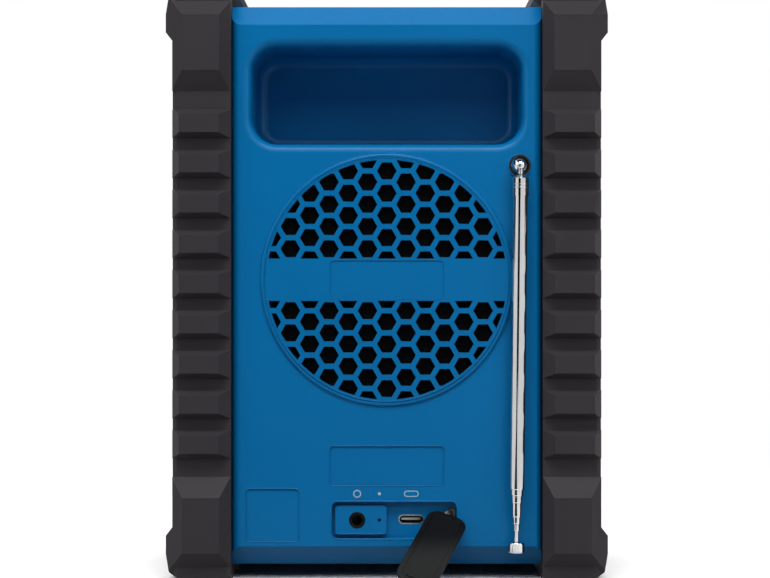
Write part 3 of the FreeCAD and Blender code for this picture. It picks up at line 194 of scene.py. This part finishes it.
# Black ABS of the knob, spacers and trim: satin, with the same fine grain as the blue
black_abs = moulded("black moulded ABS", "#0B0C0D", "#131416", 12, (0.35, 0.5), 0.35, 0.006,
                    IOR=1.53)
# Powder coat on pressed steel: black, with the slight orange peel of cured powder
powder_coat = moulded("black powder coat", "#141517", "#1A1B1D", 10, (0.4, 0.52), 1.2, 0.02,
                      IOR=1.5)
# Chromium plate over drawn brass tube: mirror bright, with faint lines along the tube
drawn_chrome = moulded("chromium plate on drawn tube", "#BFC0C2", "#CFD0D1", 8, (0.06, 0.12),
                       0.25, 0.001, stretch=(1, 1, 0.02), Metallic=1.0)
# Zinc-plated steel: light grey with a slightly uneven, semi-bright shine
bright_steel = moulded("zinc-plated steel", "#A9ABAC", "#C2C3C1", 3, (0.22, 0.36), 0.2, 0.003,
                       Metallic=1.0)
# Nickel over brass: a warm grey mirror with soft highlights
nickel = moulded("nickel-plated brass", "#8F8B82", "#A29E94", 3, (0.16, 0.26), 0.15, 0.002,
                 Metallic=1.0)
# Black nickel over brass, as on a jack's nose: a dark smoky mirror
black_nickel = moulded("black nickel plate", "#1B1B1D", "#242426", 3, (0.2, 0.32), 0.15, 0.002,
                       Metallic=1.0)
# Solder mask: glossy dark green over the weave of the fibreglass
solder_mask = moulded("green solder mask on fibreglass", "#0B3A1C", "#14562B", 4, (0.3, 0.45),
                      0.8, 0.02, IOR=1.55)
# Pressed pulp: matt black-brown with short fibres
cone_paper = moulded("pressed pulp paper", "#141312", "#211F1D", 1.2, (0.8, 0.95), 0.5, 0.06,
                     IOR=1.47)
# Sintered ferrite: dull dark grey, slightly pitted
ferrite = moulded("sintered ferrite", "#1E1D1D", "#2C2B2A", 2, (0.55, 0.7), 0.4, 0.02, IOR=1.8)
# Enamelled wire: dark amber copper with fine turns
coil_copper = moulded("enamelled copper winding", "#7A3A1C", "#95502A", 1, (0.25, 0.4), 0.2, 0.03,
                      stretch=(0.05, 1, 0.05), Metallic=1.0)
# Shrink film: glossy mid blue, with slow waves where it drew tight
cell_film = moulded("shrink film on the cells", "#1B4E86", "#245C98", 10, (0.2, 0.35), 1.0, 0.01,
                    IOR=1.54)
# PVC insulation: red with a soft shine
lead_pvc = moulded("PVC lead insulation", "#8E1A17", "#A3231E", 5, (0.35, 0.5), 0.4, 0.01,
                   IOR=1.53)
# Keypad silicone: matt mid grey, a little chalky
key_silicone = moulded("grey keypad silicone", "#3B3D40", "#45474A", 5, (0.45, 0.6), 0.3, 0.01,
                       IOR=1.43)
# Cast acrylic: clear and flat, with a very slight waviness
acrylic = moulded("clear cast acrylic", "#F2F6F7", "#F7FAFA", 20, (0.02, 0.05), 6, 0.002,
                  IOR=1.49, Transmission_Weight=1.0)
# The switched-off display behind its glass: nearly black, a little green, with a high gloss
display_glass = moulded("dark display glass", "#0C1110", "#101614", 10, (0.08, 0.16), 2, 0.002,
                        IOR=1.52)
# Pad-printed ink: a thin matt film with a soft edge of tone
pale_ink = moulded("pale pad-printed ink", "#8FA3AE", "#A2B4BD", 2, (0.55, 0.7), 0.3, 0.004,
                   IOR=1.5)

finish_by_slot = {
    "blue_abs": blue_abs, "black_rubber": bumper_tpe, "cover_rubber": cover_silicone,
    "seal_rubber": seal_foam, "black_plastic": black_abs, "grille_steel": powder_coat,
    "chrome_plate": drawn_chrome, "steel": bright_steel, "nickel_brass": nickel,
    "clear_lens": acrylic, "display_module": display_glass, "board_green": solder_mask,
    "paper_cone": cone_paper, "ferrite": ferrite, "copper_coil": coil_copper,
    "cell_wrap": cell_film, "lead_pvc": lead_pvc, "key_rubber": key_silicone,
}


def dress(node, material):
    """Gives a frame node its finish on the object's own slot, so its mesh stays as packed."""
    for material_slot in node.material_slots:
        material_slot.link = "OBJECT"
        material_slot.material = material


for name, node in nodes.items():
    dress(node, finish_by_slot[node.data.materials[0].name])
dress(nodes["aux_socket"], black_nickel)


def soften(node, width_mm, angle=40):
    """Rounds a node's sharp edges a little, so that they catch a line of light."""
    node.modifiers.new("joined corners", "WELD").merge_threshold = 0.002 * mm
    bevel = node.modifiers.new("edge round", "BEVEL")
    bevel.width = width_mm * mm
    bevel.segments = 2
    bevel.limit_method = "ANGLE"
    bevel.angle_limit = math.radians(angle)
    bevel.harden_normals = True


for name in ("bumper_left", "bumper_right"):
    soften(nodes[name], 0.35)


# Building pieces: closed rings of points, in millimetres, are joined into a skin
def add_object(name, data):
    """A new object in the scene."""
    made = bpy.data.objects.new(name, data)
    bpy.context.scene.collection.objects.link(made)
    return made


def skin(rings, looped=False):
    """Points and faces of a surface through rings of equal length. Without looped, both ends
    close."""
    count = len(rings[0])
    points = [Vector(p) for r in rings for p in r]
    pairs = list(zip(range(len(rings)), range(1, len(rings))))
    if looped:
        pairs.append((len(rings) - 1, 0))
    faces = []
    for a, b in pairs:
        for i in range(count):
            j = (i + 1) % count
            faces.append((a * count + i, a * count + j, b * count + j, b * count + i))
    if not looped:
        faces += [tuple(range(count)), tuple(range(len(points) - count, len(points)))]
    return points, faces


def together(skins):
    """Several skins as one."""
    points, faces = [], []
    for more_points, more_faces in skins:
        start = len(points)
        points += more_points
        faces += [tuple(start + i for i in face) for face in more_faces]
    return points, faces


def piece(name, shape, material, body, place=None):
    """A mesh piece that rides on a body, if one is named. place is a matrix in millimetres that
    its points go through."""
    points, faces = shape
    if place:
        points = [place @ p for p in points]
    mesh = bpy.data.meshes.new(name)
    mesh.from_pydata([p * mm for p in points], [], faces)
    tidy = bmesh.new()
    tidy.from_mesh(mesh)
    bmesh.ops.remove_doubles(tidy, verts=tidy.verts, dist=weld_distance * mm)
    bmesh.ops.recalc_face_normals(tidy, faces=tidy.faces)
    tidy.to_mesh(mesh)
    tidy.free()
    mesh.shade_smooth()
    mesh.set_sharp_from_angle(angle=math.radians(crease_angle))
    mesh.materials.append(material)
    made = add_object(name, mesh)
    if body:
        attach(made, body)
    return made


def round_turns(count):
    """The angles of count even steps round a circle."""
    return [2 * math.pi * i / count for i in range(count)]


def turned(profile, centre, axis="Y", count=72):
    """Rings of a turned shape from (radius, level) pairs, about an axis through the centre."""
    order = {"X": (2, 0, 1), "Y": (0, 2, 1), "Z": (0, 1, 2)}[axis]
    rings = []
    for radius, level in profile:
        ring = []
        for t in round_turns(count):
            flat = (centre[0] + radius * math.cos(t), centre[1] + radius * math.sin(t), level)
            ring.append([flat[i] for i in order])
        rings.append(ring)
    return rings


def outline(centre, size, corner, y, inset=0.0, step=1.5):
    """A ring round a rounded rectangle at level y, drawn in by inset, with points along its
    sides."""
    radius = max(corner - inset, 0.02)
    half_x, half_z = [length / 2 - inset - radius for length in size]
    side_counts = [max(int((length - 2 * corner) / step), 1) for length in size]
    signs = ((1, 1), (-1, 1), (-1, -1), (1, -1))

    def corner_point(turn, share):
        sign_x, sign_z = signs[turn % 4]
        a = math.radians(90 * (turn + share))
        return Vector((centre[0] + sign_x * half_x + radius * math.cos(a), y,
                       centre[1] + sign_z * half_z + radius * math.sin(a)))

    ring = []
    for turn in range(4):
        ring += [corner_point(turn, i / corner_steps) for i in range(corner_steps + 1)]
        start, end, sides = ring[-1], corner_point(turn + 1, 0), side_counts[turn % 2]
        ring += [start.lerp(end, i / sides) for i in range(1, sides)]
    return ring


def bead_round(centre, size, corner, y, radius):
    """A thin half-sunk bead along a rounded rectangle."""
    return skin([outline(centre, size, corner, y + radius * math.sin(t), radius * math.cos(t))
                 for t in round_turns(bead_points)], looped=True)


def bead_ring(centre, ring_radius, level, radius, axis="Y"):
    """A thin half-sunk bead along a circle."""
    profile = [(ring_radius + radius * math.cos(t), level + radius * math.sin(t))
               for t in round_turns(bead_points)]
    return skin(turned(profile, centre, axis, 144), looped=True)


def cushion_edge(centre, size, corner, y0, y1, edge):
    """A slab between two levels whose y1 face has a rounded edge."""
    outward = math.copysign(edge, y1 - y0)
    steps = [(0, y0), (0, y1 - outward)]
    for degrees in (30, 60, 90):
        a = math.radians(degrees)
        steps.append((edge * (1 - math.cos(a)), y1 - outward * (1 - math.sin(a))))
    return skin([outline(centre, size, corner, y, inset) for inset, y in steps])


def grown(size, by):
    """A size that reaches further on every side."""
    return size[0] + 2 * by, size[1] + 2 * by


# The aerial side
def panel_lines():
    """Fine lines on the back panel: the raised outlines of the label fields, and the rounded
    edges of the ports and the grille."""
    recess_outset, island_inset = 0.2, 0.1
    # Centre, size, corner, level and radius of each bead
    lines = {
        "long_field_line": ((0, 40.2), (40.4, 14.0), field_corner, panel_y, 0.16),
        "square_field_line": ((40.1, 22.9), (18.7, 18.7), field_corner, panel_y, 0.16),
        "band_field_line": ((0, rear_grille_z), (40.0, 13.7), field_corner, rear_grille_y, 0.12),
        "port_recess_line": ((recess_x, port_z), grown(recess_size, recess_outset),
                             recess_corner + recess_outset, panel_y, 0.2),
        "island_line": ((island_x, port_z), grown(island_size, -island_inset),
                        island_corner - island_inset, island_y, 0.14),
    }
    for name, (centre, size, corner, y, radius) in lines.items():
        piece(name, bead_round(centre, size, corner, y, radius), blue_abs, "case")
    middle = (0, rear_grille_z)
    outer = bead_ring(middle, rear_grille_radius + 0.1, panel_y + 0.05, 0.2)
    inner = bead_ring(middle, rear_grille_radius - 1.7, rear_grille_y, 0.14)
    piece("grille_edge_lines", together([outer, inner]), blue_abs, "case")


def dust_screens():
    """Black foam behind both honeycombs, from (radius, level) profiles."""
    rear = [(0, 52.4), (41.6, 52.4), (42.2, 52.5), (42.2, 52.85), (41.6, 52.95), (0, 52.95)]
    front = [(0, -53.5), (46.2, -53.5), (46.6, -53.6), (46.6, -53.8), (46.2, -53.88), (0, -53.88)]
    screens = (("rear_dust_foam", rear, rear_grille_z), ("front_dust_foam", front, front_grille_z))
    for name, profile, z in screens:
        piece(name, skin(turned(profile, (0, z))), dust_foam, "case")


def swing():
    """The cover's pieces are drawn closed over the ports. This swings them open, as it hangs at
    rest."""
    pivot = Matrix.Translation(cover_pivot)
    turn = Matrix.Rotation(math.radians(cover_open), 4, cover_axis)
    return pivot @ turn @ pivot.inverted()


def cover_leaf():
    """The leaf with its raised rim and sunk face, and the pull at its free end."""
    centre, size = (cover_x, port_z), (cover_length, cover_height)
    pull_from_middle, pull_size, pull_corner, pull_height = 17.2, (1.6, 6.5), 0.7, 0.3
    sunk = cover_out - 0.35
    # Inset and level: the flat inside, the rounded edge and the rim, and the sunk face
    steps = [(inset, cover_in) for inset in (7.0, 5.5, 4.0, 2.5, 1.2, 0.4)]
    steps += [(0.12, cover_in + 0.12), (0, cover_in + 0.4), (0, cover_out - 0.55),
              (0.12, cover_out - 0.2), (0.5, cover_out), (1.1, cover_out), (1.6, cover_out),
              (1.85, cover_out - 0.3)]
    steps += [(inset, sunk) for inset in (2.2, 3.2, 4.6, 5.8, 7.0)]
    leaf = skin([outline(centre, size, cover_corner, y, inset) for inset, y in steps])
    pull = cushion_edge((cover_x + pull_from_middle, port_z), pull_size, pull_corner,
                        cover_out - 0.5, cover_out + pull_height, pull_height)
    made = piece("cover_leaf", together([leaf, pull]), leaf_silicone, "cover",
                 swing())
    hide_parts("port_cover")


def plug_feet():
    """The two soft plugs on the inside of the cover: a round one and a flat one."""
    round_tip, flat_tip, root = cover_in - 3.6, cover_in - 4.8, cover_in + 0.5
    flat_size, flat_corner = (7.7, 2.05), 1.0
    profile = [(0, round_tip), (0.9, round_tip), (1.35, round_tip + 0.25), (1.6, round_tip + 0.8),
               (1.62, cover_in - 0.6), (2.0, cover_in), (2.0, root), (0, root)]
    round_plug = skin(turned(profile, (jack_x, port_z), count=36))
    steps = [(0.6, flat_tip), (0.2, flat_tip + 0.1), (0, flat_tip + 0.6), (0, root)]
    flat_plug = skin([outline((usb_x, port_z), flat_size, flat_corner, y, inset, 0.8)
                      for inset, y in steps])
    made = piece("cover_plug_feet", together([round_plug, flat_plug]), cover_silicone,
                 "cover", swing())
    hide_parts("cover_plugs")


def strap_web():
    """The soft web that loops out of the recess to the leaf's root and twists on the way."""
    half_width, half_thick, ring_count, ring_points = 2.9, 0.6, 24, 16
    root_x, root_y, foot_y = -17.0, cover_in + 0.4, 53.6
    to_open = swing().to_3x3()
    root = swing() @ Vector((root_x, root_y, port_z))
    foot = Vector((anchor_x, foot_y, port_z))
    foot_out = foot + Vector((-0.2, 3.2, 1.6))
    root_out = root - to_open @ Vector((3.8, 0.2, 0))
    across = (Vector((0, 0, 1)), to_open @ Vector((0, 0, 1)))
    rings = []
    for i in range(ring_count + 1):
        # A cubic curve through foot, foot_out, root_out and root
        t = i / ring_count
        share = (1 - t) ** 3, 3 * t * (1 - t) ** 2, 3 * t * t * (1 - t), t ** 3
        middle = foot * share[0] + foot_out * share[1] + root_out * share[2] + root * share[3]
        slope = ((foot_out - foot) * (1 - t) ** 2 + (root_out - foot_out) * 2 * t * (1 - t)
                 + (root - root_out) * t * t).normalized()
        side = across[0].lerp(across[1], t * t * (3 - 2 * t))
        side = (side - slope * side.dot(slope)).normalized()
        through = slope.cross(side)
        ring = []
        for a in round_turns(ring_points):
            u = math.copysign(abs(math.cos(a)) ** 0.35, math.cos(a)) * half_width
            v = math.copysign(abs(math.sin(a)) ** 0.7, math.sin(a)) * half_thick
            ring.append(middle + side * u + through * v)
        rings.append(ring)
    made = piece("strap_web", skin(rings), cover_silicone, None)
    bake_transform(made)
    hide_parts("cover_strap")


def cover_foot():
    """The rubber foot in the end of the recess, with a shallow groove round its root."""
    foot_size, foot_corner = (2.9, 8.0), 0.8
    steps = [(0.2, 52.0), (0, 52.2), (0, 52.5), (0.25, 52.7), (0.25, 52.9), (0, 53.1), (0, 54.0),
             (0.15, 54.3), (0.5, 54.4)]
    foot = skin([outline((anchor_x, port_z), foot_size, foot_corner, y, inset, 0.7)
                 for inset, y in steps])
    made = piece("cover_foot", foot, cover_silicone, "case")
    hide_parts("cover_anchor")


def lean():
    """The mast hangs from its hinge and leans a little towards the radio's middle."""
    hinge = Matrix.Translation((aerial_x, aerial_y, aerial_z))
    turn = Matrix.Rotation(math.radians(aerial_lean), 4, (0, -1, 0))
    return hinge @ turn @ hinge.inverted()


def aerial_trim():
    """Rolled beads on the barrel, a rolled lip at each tube's end, and a black lining in the well,
    which is painted shade: it makes the hole read dark, as a deep hole would.
    """
    axis, well = (aerial_x, aerial_y), (aerial_x, aerial_z)
    barrel_radius, bead_radius, lip_radius, lip_from_end = 2.95, 0.16, 0.14, 0.25
    beads = [bead_ring(axis, barrel_radius, z, bead_radius, "Z") for z in (138.9, 137.7)]
    piece("barrel_beads", together(beads), drawn_chrome, "mast", lean())
    for i, (diameter, z) in enumerate(tube_ends):
        body = "mast" if i == 0 else f"mast_{i + 1}"
        lip = bead_ring(axis, diameter / 2, z + lip_from_end, lip_radius, "Z")
        piece(f"tube_lip_{i + 1}", lip, drawn_chrome, body, lean())
    # Painted shade: a black cup lines the well, so the hole looks dark
    well_shade = [(2.4, 50.55), (3.45, 50.55), (3.45, 54.7), (3.6, 55.0), (3.75, 55.12), (3.95, 55.05),
              (4.0, 54.9), (3.3, 54.9), (3.3, 50.75), (2.4, 50.75)]
    piece("aerial_well_painted_shade", skin(turned(well_shade, well), looped=True),
          black_abs, "case")
    piece("aerial_well_rim", bead_ring(well, 4.05, panel_y, 0.2), blue_abs, "case")


def port_marks():
    """Plain marks over the ports: a ring, a dot and a flat oval."""
    mark_z, low, high = 30.4, panel_y - 0.05, panel_y + 0.03
    ring_profile = [(1.0, low), (1.0, high), (1.4, high), (1.4, low)]
    dot_profile = [(0, low), (0.55, low), (0.55, high), (0, high)]
    oval_size, oval_corner, line_width = (5.2, 2.2), 1.08, 0.35
    ring = skin(turned(ring_profile, (jack_x, mark_z), count=40), looped=True)
    dot = skin(turned(dot_profile, (pinhole_x, mark_z), count=32))
    steps = ((0, low), (0, high), (line_width, high), (line_width, low))
    oval = skin([outline((usb_x, mark_z), oval_size, oval_corner, y, inset, 0.8)
                 for inset, y in steps], looped=True)
    piece("port_marks", together([ring, dot, oval]), pale_ink, "case")


def socket_shade():
    """A black lining inside the flat socket, behind its bright steel mouth: painted shade, a dark
    sheet that stands in for the shade inside the metal socket.
    """
    size, corner, wall, mouth_y, floor_y = (8.3, 2.62), 1.3, 0.1, 51.35, 45.7
    tube = [outline((usb_x, port_z), size, corner, y, inset, 0.8)
            for inset, y in ((0, mouth_y), (0, floor_y), (wall, floor_y), (wall, mouth_y))]
    back = [outline((usb_x, port_z), size, corner, y, wall, 0.8) for y in (45.75, 45.95)]
    # Painted shade: a black tube and back plate make the inside of the socket read dark
    piece("socket_painted_shade", together([skin(tube, looped=True), skin(back)]), black_abs,
          "case")


def pocket_caps():
    """Flush blue caps over the peg holes in the pocket's side walls."""
    radius, flat_radius = 2.7, 2.4
    caps = []
    for side in (1, -1):
        wall = side * pocket_wall_x
        profile = [(0, wall), (radius, wall), (radius, wall - side * 0.12),
                   (flat_radius, wall - side * 0.22), (0, wall - side * 0.24)]
        caps.append(skin(turned(profile, peg_hole_centre, "X", 40)))
    piece("pocket_peg_caps", together(caps), blue_abs, "case")


# The control side
def display_figures():
    """Seven-segment figures on the display, with a decimal point before the last one."""
    pitch, first_x, point_width, half_height, half_width = 8.5, -13.5, 2.5, 4.5, 2.5
    lit = {"0": "abcdef", "1": "bc", "2": "abged", "5": "afgcd"}
    # Place of each bar from its figure's middle
    flat_bars = {"a": (0, half_height), "g": (0, 0), "d": (0, -half_height)}
    upright_bars = {"f": (-half_width, half_height / 2), "b": (half_width, half_height / 2),
                    "e": (-half_width, -half_height / 2), "c": (half_width, -half_height / 2)}
    display_x, display_z = display_centre

    def bar(dx, dz, size, corner):
        return cushion_edge((display_x + dx, display_z + dz), size, corner,
                            display_y + 0.05, display_y - 0.06, 0.03)

    parts = []
    for place, figure in enumerate("1025"):
        middle = first_x + pitch * place + (point_width if place == 3 else 0)
        for letter in lit[figure]:
            if letter in flat_bars:
                dx, dz = flat_bars[letter]
                parts.append(bar(middle + dx, dz, (3.8, 0.9), 0.4))
            else:
                dx, dz = upright_bars[letter]
                parts.append(bar(middle + dx, dz, (0.9, 3.5), 0.4))
    point_x = first_x + pitch * 2 + 5.5
    parts.append(bar(point_x, -half_height, (1.1, 1.1), 0.5))
    piece("display_figures", together(parts), pale_ink, "case")


def key_figures():
    """A printed figure on each key, 1 to 5."""
    figure_height, ink_depth = 4.4, 0.03
    for i in range(5):
        words = bpy.data.curves.new(f"key_figure_{i + 1}", "FONT")
        words.body = str(i + 1)
        words.size, words.extrude = figure_height * mm, ink_depth * mm
        words.align_x, words.align_y = "CENTER", "CENTER"
        words.materials.append(pale_ink)
        made = add_object(words.name, words)
        made.location = Vector((first_key_x + key_pitch * i, key_front_y - 0.01, key_z)) * mm
        made.rotation_euler = (math.radians(90), 0, 0)
        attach(made, f"key_{i + 1}")


def knob_marks():
    """The white spot in the knob's face and the printed scale round it."""
    spot_from_middle, scale_radius, tick_size = 7.6, 17.6, (0.6, 2.0)
    first_tick, tick_turn, tick_count = -135, 27, 11
    face = knob_dish_y
    spot = [(0, face + 0.45), (1.05, face + 0.45), (1.05, face + 0.1), (0.8, face + 0.02),
            (0, face)]
    piece("knob_spot", skin(turned(spot, (knob_x, knob_z + spot_from_middle), count=32)), pale_ink,
          "knob")
    centre, out = Matrix.Translation((knob_x, 0, knob_z)), Matrix.Translation((0, 0, scale_radius))
    ticks = []
    for i in range(tick_count):
        turn = Matrix.Rotation(math.radians(first_tick + tick_turn * i), 4, "Y")
        points, faces = cushion_edge((0, 0), tick_size, 0.25,
                                     front_panel_y + 0.05, front_panel_y - 0.04, 0.02)
        ticks.append(([centre @ turn @ out @ p for p in points], faces))
    piece("knob_scale", together(ticks), pale_ink, "case")


for make in (panel_lines, dust_screens, cover_leaf, plug_feet, strap_web, cover_foot, aerial_trim,
             port_marks, socket_shade, pocket_caps, display_figures, key_figures, knob_marks):
    make()


# The studio: a white floor that fades into a white backdrop, soft boxes, and dark cards that keep
# the shades deep. Its sizes are in metres.
def aim(made, centre, target, axis):
    """Puts an object at centre, with one of its axes towards the target."""
    made.location = centre
    made.rotation_mode = "QUATERNION"
    made.rotation_quaternion = (Vector(target) - Vector(centre)).to_track_quat(axis, "Y")


def card(name, centre, size, facing, material):
    """A flat card that belongs to the stage."""
    mesh = bpy.data.meshes.new(name)
    half_x, half_y = size[0] / 2, size[1] / 2
    corners = [(-half_x, -half_y, 0), (half_x, -half_y, 0), (half_x, half_y, 0),
               (-half_x, half_y, 0)]
    mesh.from_pydata(corners, [], [(0, 1, 2, 3)])
    mesh.materials.append(material)
    made = add_object(name, mesh)
    aim(made, centre, facing, "Z")
    return made


def dark_card(name, centre, size, facing, material):
    """A card that the camera doesn't see."""
    made = card(name, centre, size, facing, material)
    made.visible_camera = False
    return made


def soft_box(name, centre, target, size, watts):
    """A lamp behind a large diffuser, which the camera doesn't see."""
    lamp = bpy.data.lights.new(name, "AREA")
    lamp.shape, lamp.size, lamp.size_y, lamp.energy = "RECTANGLE", size[0], size[1], watts
    made = add_object(name, lamp)
    aim(made, centre, target, "-Z")
    made.visible_camera = False


def seen_rays(tree, *kinds):
    """1 where a ray is of one of the given kinds."""
    path = add_node(tree, "ShaderNodeLightPath")
    seen = path.outputs[kinds[0]]
    for kind in kinds[1:]:
        seen = add_node(tree, "ShaderNodeMath", {"operation": "MAXIMUM"},
                        {0: seen, 1: path.outputs[kind]}).outputs[0]
    return seen


def studio_world():
    """White to the camera, to gloss and through glass, and a dim fill for the rest."""
    world = bpy.data.worlds.new("studio")
    world.use_nodes = True
    tree = world.node_tree
    tree.nodes.clear()
    seen = seen_rays(tree, "Is Camera Ray", "Is Glossy Ray", "Is Transmission Ray")
    fill, white = [add_node(tree, "ShaderNodeBackground", None,
                            {"Color": linear("#FFFFFF"), "Strength": strength}).outputs[0]
                   for strength in (0.05, 1.0)]
    mixed = add_node(tree, "ShaderNodeMixShader", None, {0: seen, 1: fill, 2: white})
    add_node(tree, "ShaderNodeOutputWorld", None, {0: mixed.outputs[0]})
    bpy.context.scene.world = world


def floor_paper():
    """Matt paper, white to the eye. Away from the object it turns into plain white, so no horizon
    shows, and it throws back less light than white paper would, so the shades stay deep."""
    fibre_mm, paper_until, white_from = 3, 0.15, 0.5
    material, tree, shader = blank_material("white background paper", Roughness=0.9,
                                            Specular_IOR_Level=0.1)
    place = add_node(tree, "ShaderNodeTexCoord").outputs["Object"]
    fibre = add_node(tree, "ShaderNodeTexNoise", None,
                     {"Vector": place, "Scale": 1 / (fibre_mm * mm)})
    shade = add_node(tree, "ShaderNodeMix", {"data_type": "RGBA"},
                     {0: fibre.outputs[0], 6: linear("#F1F1F1"), 7: linear("#F7F7F7")})
    seen = seen_rays(tree, "Is Camera Ray", "Is Glossy Ray")
    bounced = add_node(tree, "ShaderNodeMix", {"data_type": "RGBA"},
                       {0: seen, 6: linear("#A0A0A0"), 7: shade.outputs[2]})
    tree.links.new(bounced.outputs[2], shader.inputs["Base Color"])
    away = add_node(tree, "ShaderNodeVectorMath", {"operation": "LENGTH"}, {0: place})
    far = add_node(tree, "ShaderNodeMapRange", None,
                   {"Value": away.outputs["Value"], "From Min": paper_until,
                    "From Max": white_from})
    share = add_node(tree, "ShaderNodeMath", {"operation": "MULTIPLY"},
                     {0: far.outputs[0], 1: seen})
    white = add_node(tree, "ShaderNodeEmission", None,
                     {"Color": linear("#FFFFFF"), "Strength": 1.0})
    mixed = add_node(tree, "ShaderNodeMixShader", None,
                     {0: share.outputs[0], 1: shader.outputs[0], 2: white.outputs[0]})
    tree.links.new(mixed.outputs[0], tree.nodes["Material Output"].inputs["Surface"])
    return material


def studio():
    """The world, the floor, and for each side of the radio the same dark cards and soft boxes."""
    studio_world()
    card("studio_floor", (0, 0, 0), (10, 10), (0, 0, 1), floor_paper())
    cloth = moulded("black studio cloth", "#0A0A0A", "#101010", 30, (0.9, 1.0), 2, 0.1,
                    Specular_IOR_Level=0.0)
    dark_card("dark_ceiling", (0, 0, 2.0), (3.2, 3.2), (0, 0, 0), cloth)
    for side, hand in ((1, "back"), (-1, "front")):
        flag_x, strip_x, strip_y = 0.34 * side, 0.24 * side, 0.93 * side
        dark_card(f"dark_flag_{hand}", (flag_x, 1.6 * side, 0.75), (0.9, 1.6),
                  (flag_x, 0, 0.75), cloth)
        dark_card(f"side_flag_{hand}", (1.5 * side, 0.0, 0.6), (1.2, 0.9), (0, 0, 0.6), cloth)
        # This strip lies on the floor, and only gloss sees it: a dark line for the chrome to mirror
        strip = dark_card(f"floor_flag_{hand}", (strip_x, strip_y, 0.001), (0.26, 1.5),
                          (strip_x, strip_y, 1), cloth)
        strip.rotation_quaternion = Matrix.Rotation(math.radians(-17), 3, "Z").to_quaternion()
        strip.visible_shadow = strip.visible_diffuse = False
        soft_box(f"top_box_{side}", (0, 0.8 * side, 1.4), (0, 0.05 * side, 0.1), (1.2, 0.5), 21.5)
        target = (0, 0.05 * side, 0.12)
        soft_box(f"low_box_{side}", (0, 1.25 * side, 0.85), target, (1.4, 0.35), 4)
        for across in (1, -1):
            soft_box(f"side_box_{side}_{across}", (1.2 * across, 0.8 * side, 0.65), target,
                     (0.5, 0.8), 3.4)


def photo_camera():
    """Level, square to the back, at the distance that the ribs' perspective gives."""
    distance, pixels_per_metre, frame_width_px, sensor_mm = 0.8, 2850, 770, 36
    middle_x, middle_z = 0.63, 102.25
    camera = bpy.data.cameras.new("photo camera")
    camera.sensor_width = sensor_mm
    camera.lens = pixels_per_metre * distance * sensor_mm / frame_width_px
    camera.clip_start, camera.clip_end = 0.05, 30
    made = add_object("photo_camera", camera)
    made.location = (middle_x * mm, panel_y * mm + distance, middle_z * mm)
    made.rotation_euler = (math.radians(90), 0, math.radians(180))
    bpy.context.scene.camera = made


studio()
photo_camera()
bpy.context.scene.view_settings.view_transform = "Standard"
